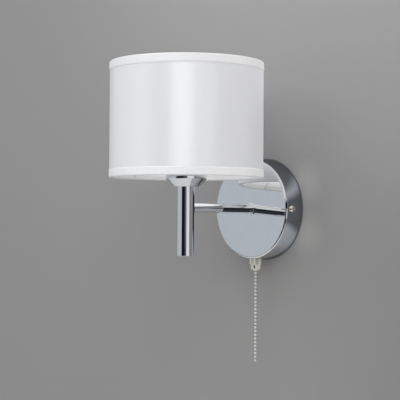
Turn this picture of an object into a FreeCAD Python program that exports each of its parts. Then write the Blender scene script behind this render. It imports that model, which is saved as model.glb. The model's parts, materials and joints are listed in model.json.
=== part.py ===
"""Wall light with a fabric drum shade: chrome canopy, arm and stem, E14 lampholder, ball-chain pull switch.

Millimetres. The wall is the plane Y = 0, the light stands out from it towards -Y, and +Z is up.
The origin is the middle of the canopy on the wall, which is also the middle of the two wall screws.
"""
import FreeCAD, Part
import math
import os

# ---------------------------------------------------------------- driving dimensions
# Canopy: a deep-drawn cup, open at the wall
CANOPY_DIAMETER = 100.0
CANOPY_DEPTH = 22.0
CANOPY_WALL = 1.0
CANOPY_EDGE_RADIUS = 2.0
SIDE_SCREW_FROM_WALL = 14.0

# Wall bracket: a bent strip with a round middle and a tab for the terminal block
BRACKET_THICKNESS = 1.5
BRACKET_WIDTH = 14.0
BRACKET_BEND_RADIUS = 1.0
BRACKET_EAR_HEIGHT = 18.5
BRACKET_MIDDLE_RADIUS = 15.0
CABLE_HOLE_RADIUS = 6.0
WALL_SCREW_SPACING = 60.0
WALL_SLOT_WIDTH = 4.5
WALL_SLOT_LENGTH = 8.0
TAB_WIDTH = 28.0
TAB_TOP = 31.0
TAB_CORNER_RADIUS = 3.0

# Screws
SIDE_SCREW_RADIUS = 2.0
SIDE_SCREW_LENGTH = 7.0
SIDE_SCREW_HEAD_RADIUS = 3.3
SIDE_SCREW_HEAD_HEIGHT = 2.2
RECESS_LENGTH = 3.8
RECESS_WIDTH = 0.9
RECESS_DEPTH = 1.1
EARTH_SCREW_X = 20.0
EARTH_SCREW_RADIUS = 2.0
EARTH_SCREW_HEAD_RADIUS = 3.4
EARTH_SCREW_HEAD_HEIGHT = 2.2
EARTH_WASHER_RADIUS = 4.2
EARTH_WASHER_THICKNESS = 0.8

# Terminal block: one pole for each of live, neutral and earth
POLE_COUNT = 3
POLE_PITCH = 8.5
POLE_RADIUS = 4.0
BLOCK_LENGTH = 15.0
BLOCK_BASE = 4.5
BLOCK_HEIGHT = 11.0
BLOCK_BOTTOM = 13.0
BLOCK_WIRE_HOLE_RADIUS = 1.6
BLOCK_WIRE_HEIGHT = 5.0
CLAMP_SCREW_RADIUS = 1.4
CLAMP_SCREW_LENGTH = 2.6
CLAMP_SCREW_DEPTH = 0.8
CLAMP_SCREW_SPREAD = 7.5
CLAMP_SLOT_WIDTH = 0.5
CLAMP_SLOT_DEPTH = 0.6

# Arm: a straight tube, held by a hollow threaded rod through the canopy
REACH = 109.0
ARM_DIAMETER = 9.0
ARM_WALL = 1.0
ARM_COLLAR_DIAMETER = 12.4
ARM_COLLAR_THICKNESS = 1.8
ARM_COLLAR_ROUNDING = 0.5
ARM_ROD_DIAMETER = 8.0
ARM_ROD_BORE = 5.8
ARM_ROD_IN_TUBE = 12.0
ARM_WASHER_RADIUS = 7.5
ARM_WASHER_THICKNESS = 0.8
ARM_NUT_ACROSS_FLATS = 12.0
ARM_NUT_THICKNESS = 3.5
ARM_ROD_BEHIND_NUT = 2.5

# Stem: an upright tube
STEM_DIAMETER = 17.0
STEM_WALL = 1.0
STEM_BOTTOM = -46.0
STEM_TOP = 20.0
STEM_CAP_THICKNESS = 1.0
STEM_CAP_ROUNDING = 0.4
STEM_CAP_SPIGOT = 5.0
STEM_BUSH_LENGTH = 12.0
STEM_ROD_DIAMETER = 10.0
STEM_ROD_BORE = 8.0
STEM_ROD_IN_BUSH = 10.0

# Holder cup: a spun cone with an upright lip
CUP_BASE_DIAMETER = 25.0
CUP_MOUTH_DIAMETER = 39.5
CUP_CONE_HEIGHT = 7.5
CUP_LIP_HEIGHT = 5.5
CUP_WALL = 1.0
CUP_ROUNDING = 0.6
CUP_NUT_ACROSS_FLATS = 14.0
CUP_NUT_THICKNESS = 3.0

# Lampholder for a small screw-cap (E14) lamp
HOLDER_BASE_HEIGHT = 22.0
HOLDER_BASE_RADIUS = 13.0
HOLDER_BASE_FOOT_RADIUS = 10.5
HOLDER_BASE_SHOULDER = 6.0
HOLDER_BASE_WALL = 1.5
HOLDER_BASE_FLOOR = 6.0
SLEEVE_RADIUS = 14.0
SLEEVE_WALL = 2.0
SLEEVE_OVERLAP = 12.0
SLEEVE_HEIGHT = 38.0
CORE_HEIGHT = 16.0
CORE_FLOOR = 3.0
SOCKET_RADIUS = 7.05
SOCKET_WALL = 0.4
SOCKET_LENGTH = 13.0
SOCKET_ABOVE_CORE = 4.0
CONTACT_WELL_RADIUS = 6.0
CONTACT_WIDTH = 4.0
CONTACT_THICKNESS = 0.4
CONTACT_LENGTH = 9.0
CONTACT_RISE = 2.6

# Shade rings that clamp the shade's gallery on the lampholder
SHADE_RING_WIDTH = 4.5
SHADE_RING_HEIGHT = 3.6
SHADE_RING_CHAMFER = 0.6
SHADE_RING_GRIPS = 18
SHADE_RING_GRIP_RADIUS = 0.7
GALLERY_HEIGHT = 44.0
GALLERY_THICKNESS = 1.2

# Shade: fabric laminated on a stiff liner, on two wire rings, with taped edges
SHADE_DIAMETER = 148.0
SHADE_HEIGHT = 110.0
SHADE_BOTTOM = 28.5
TAPE_THICKNESS = 0.4
TAPE_HEIGHT = 8.0
TAPE_INNER_HEIGHT = 4.5
FABRIC_THICKNESS = 0.4
LINER_THICKNESS = 0.6
WIRE_DIAMETER = 2.2
SPOKE_COUNT = 3
SPOKE_DIAMETER = 2.0
SPOKE_KNEE_RUN = 12.0
SPOKE_KNEE_RADIUS = 6.0
SPOKE_RING_GAP = 0.4
SPOKE_FIRST_ANGLE = 185.0

# Leads inside the arm and stem
LEAD_RADIUS = 0.9
LEAD_SPREAD = 2.4
LEAD_POLE_TURN_RADIUS = 3.0
LEAD_ARM_TURN_RADIUS = 3.5
LEAD_IN_BLOCK = 3.0
LEAD_BELOW_BLOCK = 4.0
LEAD_STEM_TURN_RADIUS = 5.0

# Pull switch under the canopy
SWITCH_FROM_WALL = 14.0
HOUSING_WIDTH = 20.0
HOUSING_DEPTH = 15.0
HOUSING_HEIGHT = 22.0
HOUSING_WALL = 1.2
HOUSING_OFFSET = 3.0
HOUSING_LID_THICKNESS = 1.2
HOUSING_ABOVE_RIM = 4.5
HOUSING_FRONT_GAP = 0.4
BARREL_RADIUS = 4.0
BARREL_BORE_RADIUS = 1.9
BARREL_BELOW_CANOPY = 3.4
INNER_NUT_ACROSS_FLATS = 11.0
INNER_NUT_THICKNESS = 2.6
COLLAR_RADIUS = 5.8
COLLAR_HEIGHT = 5.8
COLLAR_KNURLS = 24
COLLAR_KNURL_DEPTH = 0.35
OUTLET_WIDTH = 7.6
OUTLET_TURN = -63.7
OUTLET_BLOCK_HEIGHT = 4.9
OUTLET_CORNER_EASE = 1.0
OUTLET_NECK_LENGTH = 2.2
OUTLET_NOSE_RADIUS = 2.6
OUTLET_NOSE_HEIGHT = 1.3
OUTLET_BORE_RADIUS = 1.7
KEYHOLE_RADIUS = 0.85
KEYHOLE_SLOT_RADIUS = 0.6
KEYHOLE_ABOVE_NOSE = 1.7
KEYHOLE_RISE = 2.1

# Ball chain
BALL_RADIUS = 1.25
BALL_PITCH = 3.67
LINK_RADIUS = 0.4
HANGING_BALLS = 25
FIRST_BALL_BELOW_OUTLET = 2.4
SWIVEL_CLEARANCE = 0.25

# Chain drum in the switch
DRUM_PITCH_RADIUS = 4.5
DRUM_HUB_RADIUS = 3.0
DRUM_FLANGE_RADIUS = 6.0
DRUM_GROOVE = 3.2
DRUM_FLANGE_THICKNESS = 1.0
DRUM_BELOW_TOP = 9.0
DRUM_BALLS = 3
PIN_RADIUS = 1.2
SPRING_INNER_RADIUS = 1.7
SPRING_OUTER_RADIUS = 4.6
SPRING_THICKNESS = 1.6
LEAF_THICKNESS = 0.4
LEAF_WIDTH = 4.0
LEAF_HEIGHT = 12.0

# Clearances
SCREW_CLEARANCE = 0.15
ROD_CLEARANCE = 0.1
SLIP_CLEARANCE = 0.05
PIN_CLEARANCE = 0.05
EAR_CLEARANCE = 0.2
GLUE_GAP = 0.05

# ---------------------------------------------------------------- places worked out from the sizes
CANOPY_RADIUS = CANOPY_DIAMETER / 2
CANOPY_INNER_RADIUS = CANOPY_RADIUS - CANOPY_WALL
CANOPY_FACE = -CANOPY_DEPTH
CANOPY_INNER_FACE = CANOPY_FACE + CANOPY_WALL
SIDE_SCREW_Y = -SIDE_SCREW_FROM_WALL
BRACKET_FRONT = -BRACKET_THICKNESS
EAR_FACE = math.sqrt((CANOPY_INNER_RADIUS - EAR_CLEARANCE) ** 2 - (BRACKET_WIDTH / 2) ** 2)

STEM_Y = -REACH
ARM_RADIUS = ARM_DIAMETER / 2
ARM_BORE = ARM_RADIUS - ARM_WALL
ARM_ROD_RADIUS = ARM_ROD_DIAMETER / 2
ARM_NUT_FRONT = CANOPY_INNER_FACE + ARM_WASHER_THICKNESS
ARM_NUT_BACK = ARM_NUT_FRONT + ARM_NUT_THICKNESS
STEM_RADIUS = STEM_DIAMETER / 2
STEM_BORE = STEM_RADIUS - STEM_WALL
STEM_ROD_RADIUS = STEM_ROD_DIAMETER / 2

CUP_FLOOR = STEM_TOP + CUP_WALL
HOLDER_BOTTOM = CUP_FLOOR + CUP_NUT_THICKNESS
HOLDER_BASE_TOP = HOLDER_BOTTOM + HOLDER_BASE_HEIGHT
STEM_ROD_TOP = HOLDER_BOTTOM + HOLDER_BASE_FLOOR
SLEEVE_BOTTOM = HOLDER_BASE_TOP - SLEEVE_OVERLAP
SLEEVE_TOP = SLEEVE_BOTTOM + SLEEVE_HEIGHT
SLEEVE_BORE = SLEEVE_RADIUS - SLEEVE_WALL
CORE_RADIUS = SLEEVE_BORE - SLIP_CLEARANCE
CORE_TOP = HOLDER_BASE_TOP + CORE_HEIGHT
SOCKET_OUTER_RADIUS = SOCKET_RADIUS + SOCKET_WALL
SOCKET_TOP = CORE_TOP + SOCKET_ABOVE_CORE
SOCKET_BOTTOM = SOCKET_TOP - SOCKET_LENGTH

SHADE_RADIUS = SHADE_DIAMETER / 2
SHADE_TOP = SHADE_BOTTOM + SHADE_HEIGHT
FABRIC_RADIUS = SHADE_RADIUS - TAPE_THICKNESS - GLUE_GAP
LINER_RADIUS = FABRIC_RADIUS - FABRIC_THICKNESS
LINER_BORE = LINER_RADIUS - LINER_THICKNESS
WIRE_RADIUS = WIRE_DIAMETER / 2
RING_RADIUS = LINER_BORE - WIRE_RADIUS - GLUE_GAP
TAPE_BORE = RING_RADIUS - WIRE_RADIUS - GLUE_GAP - TAPE_THICKNESS
SHADE_EDGE = TAPE_THICKNESS + GLUE_GAP
SPOKE_TOP_RADIUS = SLEEVE_RADIUS + SHADE_RING_WIDTH + SPOKE_RING_GAP + SPOKE_DIAMETER / 2
GALLERY_RADIUS = SPOKE_TOP_RADIUS + SPOKE_DIAMETER / 2
BOTTOM_RING_Z = SHADE_BOTTOM + SHADE_EDGE + WIRE_RADIUS
TOP_RING_Z = SHADE_TOP - SHADE_EDGE - WIRE_RADIUS

SWITCH_Y = -SWITCH_FROM_WALL
HOUSING_BOTTOM = -CANOPY_RADIUS + HOUSING_ABOVE_RIM
HOUSING_TOP = HOUSING_BOTTOM + HOUSING_HEIGHT
HOUSING_LEFT = HOUSING_OFFSET - HOUSING_WIDTH / 2
HOUSING_FRONT = CANOPY_INNER_FACE + HOUSING_FRONT_GAP
HOUSING_BACK = HOUSING_FRONT + HOUSING_DEPTH
OUTLET_TOP = -CANOPY_RADIUS - COLLAR_HEIGHT
OUTLET_BLOCK_BOTTOM = OUTLET_TOP - OUTLET_BLOCK_HEIGHT
OUTLET_BOTTOM = OUTLET_BLOCK_BOTTOM - OUTLET_NOSE_HEIGHT
BARREL_BOTTOM = -CANOPY_RADIUS - BARREL_BELOW_CANOPY
SWIVEL_Z = OUTLET_BOTTOM - FIRST_BALL_BELOW_OUTLET
DRUM_X = DRUM_PITCH_RADIUS
DRUM_Z = HOUSING_TOP - DRUM_BELOW_TOP
DRUM_FRONT = SWITCH_Y - DRUM_GROOVE / 2 - DRUM_FLANGE_THICKNESS
DRUM_BACK = SWITCH_Y + DRUM_GROOVE / 2 + DRUM_FLANGE_THICKNESS

AXES = {"x": FreeCAD.Vector(1, 0, 0), "y": FreeCAD.Vector(0, 1, 0), "z": FreeCAD.Vector(0, 0, 1)}
FULL_TURN = 360.0


# ---------------------------------------------------------------- ways of making solids
def vector(x, y, z):
    """A point or direction."""
    return FreeCAD.Vector(x, y, z)


def rounded_wire(corners, place):
    """Closed wire through corners (u, v) or (u, v, radius); place(u, v) lays a point in space."""
    stretches = []
    for index, corner in enumerate(corners):
        here = vector(corner[0], corner[1], 0)
        radius = corner[2] if len(corner) > 2 else 0
        if radius == 0:
            stretches.append((here,))
            continue
        before = corners[index - 1]
        after = corners[(index + 1) % len(corners)]
        back = (vector(before[0], before[1], 0) - here).normalize()
        onward = (vector(after[0], after[1], 0) - here).normalize()
        half = back.getAngle(onward) / 2
        reach = radius / math.tan(half)
        inward = (back + onward).normalize()
        middle = here + inward * (radius / math.sin(half) - radius)
        stretches.append((here + back * reach, middle, here + onward * reach))
    edges = []
    for index, stretch in enumerate(stretches):
        following = stretches[(index + 1) % len(stretches)][0]
        if len(stretch) == 3:
            arc = [place(p.x, p.y) for p in stretch]
            edges.append(Part.Arc(*arc).toShape())
        if stretch[-1].distanceToPoint(following) > 1e-6:
            ends = [place(p.x, p.y) for p in (stretch[-1], following)]
            edges.append(Part.LineSegment(*ends).toShape())
    return Part.Wire(edges)


def upright(solid):
    """The solid with its faces pointing outwards."""
    if solid.Volume < 0:
        solid.reverse()
    return solid


def turned(corners, axis="z", centre=(0, 0, 0)):
    """Solid of revolution from corners (radius, height along the axis) about an axis through centre."""
    middle = vector(*centre)
    places = {
        "x": lambda r, h: middle + vector(h, 0, r),
        "y": lambda r, h: middle + vector(r, h, 0),
        "z": lambda r, h: middle + vector(r, 0, h),
    }
    face = Part.Face(rounded_wire(corners, places[axis]))
    return upright(face.revolve(middle, AXES[axis], FULL_TURN))


def tube(outer, inner, low, high, axis="z", centre=(0, 0, 0), rounding=0):
    """Straight tube or ring between two heights, its outer edges rounded."""
    corners = [(inner, low), (outer, low, rounding), (outer, high, rounding), (inner, high)]
    return turned(corners, axis, centre)


def rod(radius, low, high, axis="z", centre=(0, 0, 0)):
    """Round bar between two heights along an axis through centre."""
    base = vector(*centre) + AXES[axis] * low
    return Part.makeCylinder(radius, high - low, base, AXES[axis])


def block(low, high):
    """Box between two corners."""
    size = [b - a for a, b in zip(low, high)]
    return Part.makeBox(*size, vector(*low))


def prism(corners, place, along):
    """Solid from a flat outline, drawn out by the vector along."""
    return upright(Part.Face(rounded_wire(corners, place)).extrude(along))


def hexagon(across_flats):
    """Corners of a regular hexagon about the origin."""
    radius = across_flats / 2 / math.cos(math.pi / 6)
    angles = [math.pi / 3 * i for i in range(6)]
    return [(radius * math.cos(a), radius * math.sin(a)) for a in angles]


def hex_nut(across_flats, bore, low, high, axis, centre):
    """Hexagon nut with a bore, its outer corners eased by a cone at both ends."""
    middle = vector(*centre)
    base = middle + AXES[axis] * low
    places = {
        "y": lambda u, v: base + vector(u, 0, v),
        "z": lambda u, v: base + vector(u, v, 0),
    }
    body = prism(hexagon(across_flats), places[axis], AXES[axis] * (high - low))
    flat = across_flats / 2
    corner = flat / math.cos(math.pi / 6)
    ease = (corner - flat) / 2
    envelope = turned(
        [(0, low), (flat, low), (corner, low + ease), (corner, high - ease), (flat, high), (0, high)],
        axis,
        centre,
    )
    return body.common(envelope).cut(rod(bore, low, high, axis, centre))


def sheet_profile(outer, wall):
    """Outline of bent sheet: the outer line of corners (u, v) or (u, v, radius), and its offset inwards.

    A positive wall lies left of the line's direction, a negative one right of it, inside the bends.
    """
    points = [vector(c[0], c[1], 0) for c in outer]
    directions = [(b - a).normalize() for a, b in zip(points, points[1:])]
    lefts = [vector(-d.y, d.x, 0) for d in directions]
    inner = []
    for index, point in enumerate(points):
        first = lefts[max(index - 1, 0)]
        second = lefts[min(index, len(lefts) - 1)]
        offset = (first + second) * (wall / (1 + first.dot(second)))
        radius = outer[index][2] if len(outer[index]) > 2 else 0
        inner.append((point.x + offset.x, point.y + offset.y, max(radius - abs(wall), 0)))
    return list(outer) + inner[::-1]


def swept_tube(route, radius, bends):
    """Round wire along straight runs joined by tangent arcs; bends gives the radius at each inner point."""
    points = [vector(*p) for p in route]
    edges = []
    start = points[0]
    for here, after, bend in zip(points[1:-1], points[2:], bends):
        back = (start - here).normalize()
        onward = (after - here).normalize()
        half = back.getAngle(onward) / 2
        reach = bend / math.tan(half)
        middle = here + (back + onward).normalize() * (bend / math.sin(half) - bend)
        enter, leave = here + back * reach, here + onward * reach
        edges.append(Part.LineSegment(start, enter).toShape())
        edges.append(Part.Arc(enter, middle, leave).toShape())
        start = leave
    edges.append(Part.LineSegment(start, points[-1]).toShape())
    path = Part.Wire(edges)
    section = Part.Wire(Part.Circle(points[0], points[1] - points[0], radius).toShape())
    return upright(Part.Solid(path.makePipeShell([section], True, False)))


def together(solids):
    """Several separate solids of one node."""
    return Part.makeCompound(list(solids))


# ---------------------------------------------------------------- canopy and what is in it
def canopy_cover():
    """Drawn cup with a round face, a rounded front edge and holes for arm, side screws and switch."""
    outline = sheet_profile(
        [(CANOPY_RADIUS, 0), (CANOPY_RADIUS, CANOPY_FACE, CANOPY_EDGE_RADIUS), (0, CANOPY_FACE)],
        -CANOPY_WALL,
    )
    cup = turned(outline, "y")
    arm_hole = rod(ARM_ROD_RADIUS + ROD_CLEARANCE, CANOPY_FACE - 1, CANOPY_INNER_FACE + 1, "y")
    screw_hole = rod(
        SIDE_SCREW_RADIUS + SCREW_CLEARANCE,
        -CANOPY_RADIUS - 1,
        CANOPY_RADIUS + 1,
        "x",
        (0, SIDE_SCREW_Y, 0),
    )
    switch_hole = rod(
        BARREL_RADIUS + ROD_CLEARANCE, -CANOPY_RADIUS - 1, -CANOPY_RADIUS / 2, "z", (0, SWITCH_Y, 0)
    )
    return cup.cut(arm_hole).cut(screw_hole).cut(switch_hole)


def wall_bracket():
    """Strip bent up at both ends into ears, with a round middle, a terminal tab, slots and tapped holes."""
    half = EAR_FACE
    ear = -BRACKET_EAR_HEIGHT
    bend = BRACKET_BEND_RADIUS + BRACKET_THICKNESS
    line = [(-half, ear), (-half, 0, bend), (half, 0, bend), (half, ear)]
    strip = prism(
        sheet_profile(line, -BRACKET_THICKNESS),
        lambda u, v: vector(u, v, -BRACKET_WIDTH / 2),
        vector(0, 0, BRACKET_WIDTH),
    )
    middle = rod(BRACKET_MIDDLE_RADIUS, BRACKET_FRONT, 0, "y")
    tab_half = TAB_WIDTH / 2
    tab = prism(
        [
            (-tab_half, 0),
            (tab_half, 0),
            (tab_half, TAB_TOP, TAB_CORNER_RADIUS),
            (-tab_half, TAB_TOP, TAB_CORNER_RADIUS),
        ],
        lambda u, v: vector(u, BRACKET_FRONT, v),
        vector(0, BRACKET_THICKNESS, 0),
    )
    plate = strip.fuse([middle, tab])
    holes = [rod(CABLE_HOLE_RADIUS, BRACKET_FRONT - 1, 1, "y")]
    holes.append(rod(EARTH_SCREW_RADIUS, BRACKET_FRONT - 1, 1, "y", (EARTH_SCREW_X, 0, 0)))
    holes.append(rod(SIDE_SCREW_RADIUS, -half - 1, half + 1, "x", (0, SIDE_SCREW_Y, 0)))
    straight = (WALL_SLOT_LENGTH - WALL_SLOT_WIDTH) / 2
    for side in (-1, 1):
        x = side * WALL_SCREW_SPACING / 2
        holes.append(
            block(
                (x - straight, BRACKET_FRONT - 1, -WALL_SLOT_WIDTH / 2),
                (x + straight, 1, WALL_SLOT_WIDTH / 2),
            )
        )
        for end in (-straight, straight):
            holes.append(rod(WALL_SLOT_WIDTH / 2, BRACKET_FRONT - 1, 1, "y", (x + end, 0, 0)))
    return plate.cut(holes).removeSplitter()


def crossed_recess(centre, axis, depth):
    """Cross-shaped recess cut into a screw head from centre, going inwards along the axis."""
    long, short = RECESS_LENGTH / 2, RECESS_WIDTH / 2
    inward = AXES[axis] * depth
    arms = []
    for u, v in ((long, short), (short, long)):
        corners = [(-u, -v), (u, -v), (u, v), (-u, v)]
        places = {
            "x": lambda a, b: vector(centre[0], centre[1] + a, centre[2] + b),
            "y": lambda a, b: vector(centre[0] + a, centre[1], centre[2] + b),
        }
        arms.append(prism(corners, places[axis], inward))
    return arms[0].fuse(arms[1])


def canopy_screws():
    """Two pan-head screws through the canopy's rim into the bracket's ears."""
    tip = CANOPY_RADIUS - SIDE_SCREW_LENGTH
    top = CANOPY_RADIUS + SIDE_SCREW_HEAD_HEIGHT
    outline = [
        (0, tip),
        (SIDE_SCREW_RADIUS, tip, 0.5),
        (SIDE_SCREW_RADIUS, CANOPY_RADIUS),
        (SIDE_SCREW_HEAD_RADIUS, CANOPY_RADIUS),
        (SIDE_SCREW_HEAD_RADIUS, top, SIDE_SCREW_HEAD_HEIGHT * 0.7),
        (0, top),
    ]
    centre = (0, SIDE_SCREW_Y, 0)
    screw = turned(outline, "x", centre)
    screw = screw.cut(crossed_recess((top, SIDE_SCREW_Y, 0), "x", -RECESS_DEPTH))
    twin = screw.copy()
    twin.rotate(vector(*centre), AXES["z"], FULL_TURN / 2)
    return together([screw, twin])


def earth_screw():
    """Screw in the bracket that takes the earth lead."""
    washer_front = BRACKET_FRONT - EARTH_WASHER_THICKNESS
    top = washer_front - EARTH_SCREW_HEAD_HEIGHT
    outline = [
        (0, 0),
        (EARTH_SCREW_RADIUS, 0),
        (EARTH_SCREW_RADIUS, washer_front),
        (EARTH_SCREW_HEAD_RADIUS, washer_front),
        (EARTH_SCREW_HEAD_RADIUS, top, EARTH_SCREW_HEAD_HEIGHT * 0.6),
        (0, top),
    ]
    screw = turned(outline, "y", (EARTH_SCREW_X, 0, 0))
    return screw.cut(crossed_recess((EARTH_SCREW_X, top, 0), "y", RECESS_DEPTH))


def earth_washer():
    """Washer under the earth screw's head."""
    return tube(
        EARTH_WASHER_RADIUS,
        EARTH_SCREW_RADIUS,
        BRACKET_FRONT - EARTH_WASHER_THICKNESS,
        BRACKET_FRONT,
        "y",
        (EARTH_SCREW_X, 0, 0),
    )


def pole_places():
    """X of each pole of the terminal block."""
    return [(i - (POLE_COUNT - 1) / 2) * POLE_PITCH for i in range(POLE_COUNT)]


def clamp_screw_places():
    """Centre (x, z) of each clamping screw: two on each pole."""
    middle = BLOCK_BOTTOM + BLOCK_LENGTH / 2
    rows = (middle - CLAMP_SCREW_SPREAD / 2, middle + CLAMP_SCREW_SPREAD / 2)
    return [(x, z) for x in pole_places() for z in rows]


def terminal_block():
    """Plastic block: a base with one rounded ridge for each pole, wire holes and screw wells."""
    width = (POLE_COUNT - 1) * POLE_PITCH + 2 * POLE_RADIUS
    body = block(
        (-width / 2, BRACKET_FRONT - BLOCK_BASE, BLOCK_BOTTOM),
        (width / 2, BRACKET_FRONT, BLOCK_BOTTOM + BLOCK_LENGTH),
    )
    front = BRACKET_FRONT - BLOCK_HEIGHT
    ridges = [
        prism(
            [
                (x - POLE_RADIUS, BRACKET_FRONT - BLOCK_BASE / 2),
                (x + POLE_RADIUS, BRACKET_FRONT - BLOCK_BASE / 2),
                (x + POLE_RADIUS, front, POLE_RADIUS * 0.6),
                (x - POLE_RADIUS, front, POLE_RADIUS * 0.6),
            ],
            lambda u, v: vector(u, v, BLOCK_BOTTOM),
            vector(0, 0, BLOCK_LENGTH),
        )
        for x in pole_places()
    ]
    wire_y = BRACKET_FRONT - BLOCK_WIRE_HEIGHT
    holes = [
        rod(BLOCK_WIRE_HOLE_RADIUS, BLOCK_BOTTOM - 1, BLOCK_BOTTOM + BLOCK_LENGTH + 1, "z", (x, wire_y, 0))
        for x in pole_places()
    ]
    holes += [rod(CLAMP_SCREW_RADIUS, front - 1, wire_y, "y", (x, 0, z)) for x, z in clamp_screw_places()]
    return body.fuse(ridges).cut(holes).removeSplitter()


def terminal_screws():
    """Slotted clamping screws in the block's wells."""
    front = BRACKET_FRONT - BLOCK_HEIGHT + CLAMP_SCREW_DEPTH
    screws = []
    for x, z in clamp_screw_places():
        screw = rod(CLAMP_SCREW_RADIUS, front, front + CLAMP_SCREW_LENGTH, "y", (x, 0, z))
        slot = block(
            (x - CLAMP_SCREW_RADIUS, front, z - CLAMP_SLOT_WIDTH / 2),
            (x + CLAMP_SCREW_RADIUS, front + CLAMP_SLOT_DEPTH, z + CLAMP_SLOT_WIDTH / 2),
        )
        screws.append(screw.cut(slot))
    return together(screws)


# ---------------------------------------------------------------- arm
def arm_tube():
    """Chrome tube from the canopy's face into the stem, tapped at the canopy for the hollow rod."""
    stem_end = STEM_Y + STEM_BORE
    tapped = CANOPY_FACE - ARM_ROD_IN_TUBE
    outline = [
        (ARM_BORE, stem_end),
        (ARM_RADIUS, stem_end),
        (ARM_RADIUS, CANOPY_FACE),
        (ARM_ROD_RADIUS, CANOPY_FACE),
        (ARM_ROD_RADIUS, tapped),
        (ARM_BORE, tapped),
    ]
    return turned(outline, "y")


def arm_collar():
    """Thin chrome ring round the arm on the canopy's face."""
    front = CANOPY_FACE - ARM_COLLAR_THICKNESS
    corners = [
        (ARM_RADIUS + SLIP_CLEARANCE, front),
        (ARM_COLLAR_DIAMETER / 2, front, ARM_COLLAR_ROUNDING),
        (ARM_COLLAR_DIAMETER / 2, CANOPY_FACE),
        (ARM_RADIUS + SLIP_CLEARANCE, CANOPY_FACE),
    ]
    return turned(corners, "y")


def arm_rod():
    """Hollow threaded rod that draws the arm against the canopy and carries the leads."""
    back = ARM_NUT_BACK + ARM_ROD_BEHIND_NUT
    return tube(ARM_ROD_RADIUS, ARM_ROD_BORE / 2, CANOPY_FACE - ARM_ROD_IN_TUBE, back, "y")


def arm_washer():
    """Washer behind the canopy's face."""
    return tube(ARM_WASHER_RADIUS, ARM_ROD_RADIUS + ROD_CLEARANCE, CANOPY_INNER_FACE, ARM_NUT_FRONT, "y")


def arm_lock_nut():
    """Thin nut on the hollow rod inside the canopy."""
    return hex_nut(ARM_NUT_ACROSS_FLATS, ARM_ROD_RADIUS, ARM_NUT_FRONT, ARM_NUT_BACK, "y", (0, 0, 0))


# ---------------------------------------------------------------- stem and cup
STEM_CENTRE = (0, STEM_Y, 0)


def stem_tube():
    """Upright chrome tube with the arm's hole in its wall."""
    wall = tube(STEM_RADIUS, STEM_BORE, STEM_BOTTOM + STEM_CAP_THICKNESS, STEM_TOP, "z", STEM_CENTRE)
    return wall.cut(rod(ARM_RADIUS, STEM_Y, STEM_Y + STEM_RADIUS + 1, "y"))


def stem_end_cap():
    """Chrome disc that closes the stem's bottom, with a hollow spigot inside the tube."""
    face = STEM_BOTTOM + STEM_CAP_THICKNESS
    spigot = STEM_BORE - SLIP_CLEARANCE
    outline = [
        (0, STEM_BOTTOM),
        (STEM_RADIUS, STEM_BOTTOM, STEM_CAP_ROUNDING),
        (STEM_RADIUS, face),
        (spigot, face),
        (spigot, face + STEM_CAP_SPIGOT),
        (spigot - STEM_WALL, face + STEM_CAP_SPIGOT),
        (spigot - STEM_WALL, face),
        (0, face),
    ]
    return turned(outline, "z", STEM_CENTRE)


def stem_bush():
    """Tapped bush pressed into the top of the stem."""
    return tube(STEM_BORE, STEM_ROD_RADIUS, STEM_TOP - STEM_BUSH_LENGTH, STEM_TOP, "z", STEM_CENTRE)


def stem_rod():
    """Hollow threaded rod from the bush through the cup into the lampholder."""
    low = STEM_TOP - STEM_ROD_IN_BUSH
    return tube(STEM_ROD_RADIUS, STEM_ROD_BORE / 2, low, STEM_ROD_TOP, "z", STEM_CENTRE)


def holder_cup():
    """Spun chrome cup: flat foot, steep cone and upright lip."""
    hole = STEM_ROD_RADIUS + ROD_CLEARANCE
    cone_top = STEM_TOP + CUP_CONE_HEIGHT
    line = [
        (hole, STEM_TOP),
        (CUP_BASE_DIAMETER / 2, STEM_TOP, CUP_ROUNDING),
        (CUP_MOUTH_DIAMETER / 2, cone_top, CUP_ROUNDING),
        (CUP_MOUTH_DIAMETER / 2, cone_top + CUP_LIP_HEIGHT),
    ]
    return turned(sheet_profile(line, CUP_WALL), "z", STEM_CENTRE)


def cup_nut():
    """Nut that clamps the cup on the stem."""
    return hex_nut(CUP_NUT_ACROSS_FLATS, STEM_ROD_RADIUS, CUP_FLOOR, HOLDER_BOTTOM, "z", STEM_CENTRE)


# ---------------------------------------------------------------- lampholder
def lampholder_base():
    """Moulded base screwed on the hollow rod: sloping shoulder, tapped floor, room for the leads."""
    bore = HOLDER_BASE_RADIUS - HOLDER_BASE_WALL
    outline = [
        (STEM_ROD_RADIUS, HOLDER_BOTTOM),
        (HOLDER_BASE_FOOT_RADIUS, HOLDER_BOTTOM, 0.5),
        (HOLDER_BASE_RADIUS, HOLDER_BOTTOM + HOLDER_BASE_SHOULDER, 1),
        (HOLDER_BASE_RADIUS, HOLDER_BASE_TOP),
        (bore, HOLDER_BASE_TOP),
        (bore, STEM_ROD_TOP, 1),
        (STEM_ROD_RADIUS, STEM_ROD_TOP),
    ]
    return turned(outline, "z", STEM_CENTRE)


def lampholder_sleeve():
    """Moulded sleeve over base and core, threaded outside for the shade rings, open at its mouth."""
    skirt = HOLDER_BASE_RADIUS + SLIP_CLEARANCE
    outline = [
        (skirt, SLEEVE_BOTTOM),
        (SLEEVE_RADIUS, SLEEVE_BOTTOM),
        (SLEEVE_RADIUS, SLEEVE_TOP, 0.8),
        (SLEEVE_BORE, SLEEVE_TOP, 0.6),
        (SLEEVE_BORE, HOLDER_BASE_TOP),
        (skirt, HOLDER_BASE_TOP),
    ]
    return turned(outline, "z", STEM_CENTRE)


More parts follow.
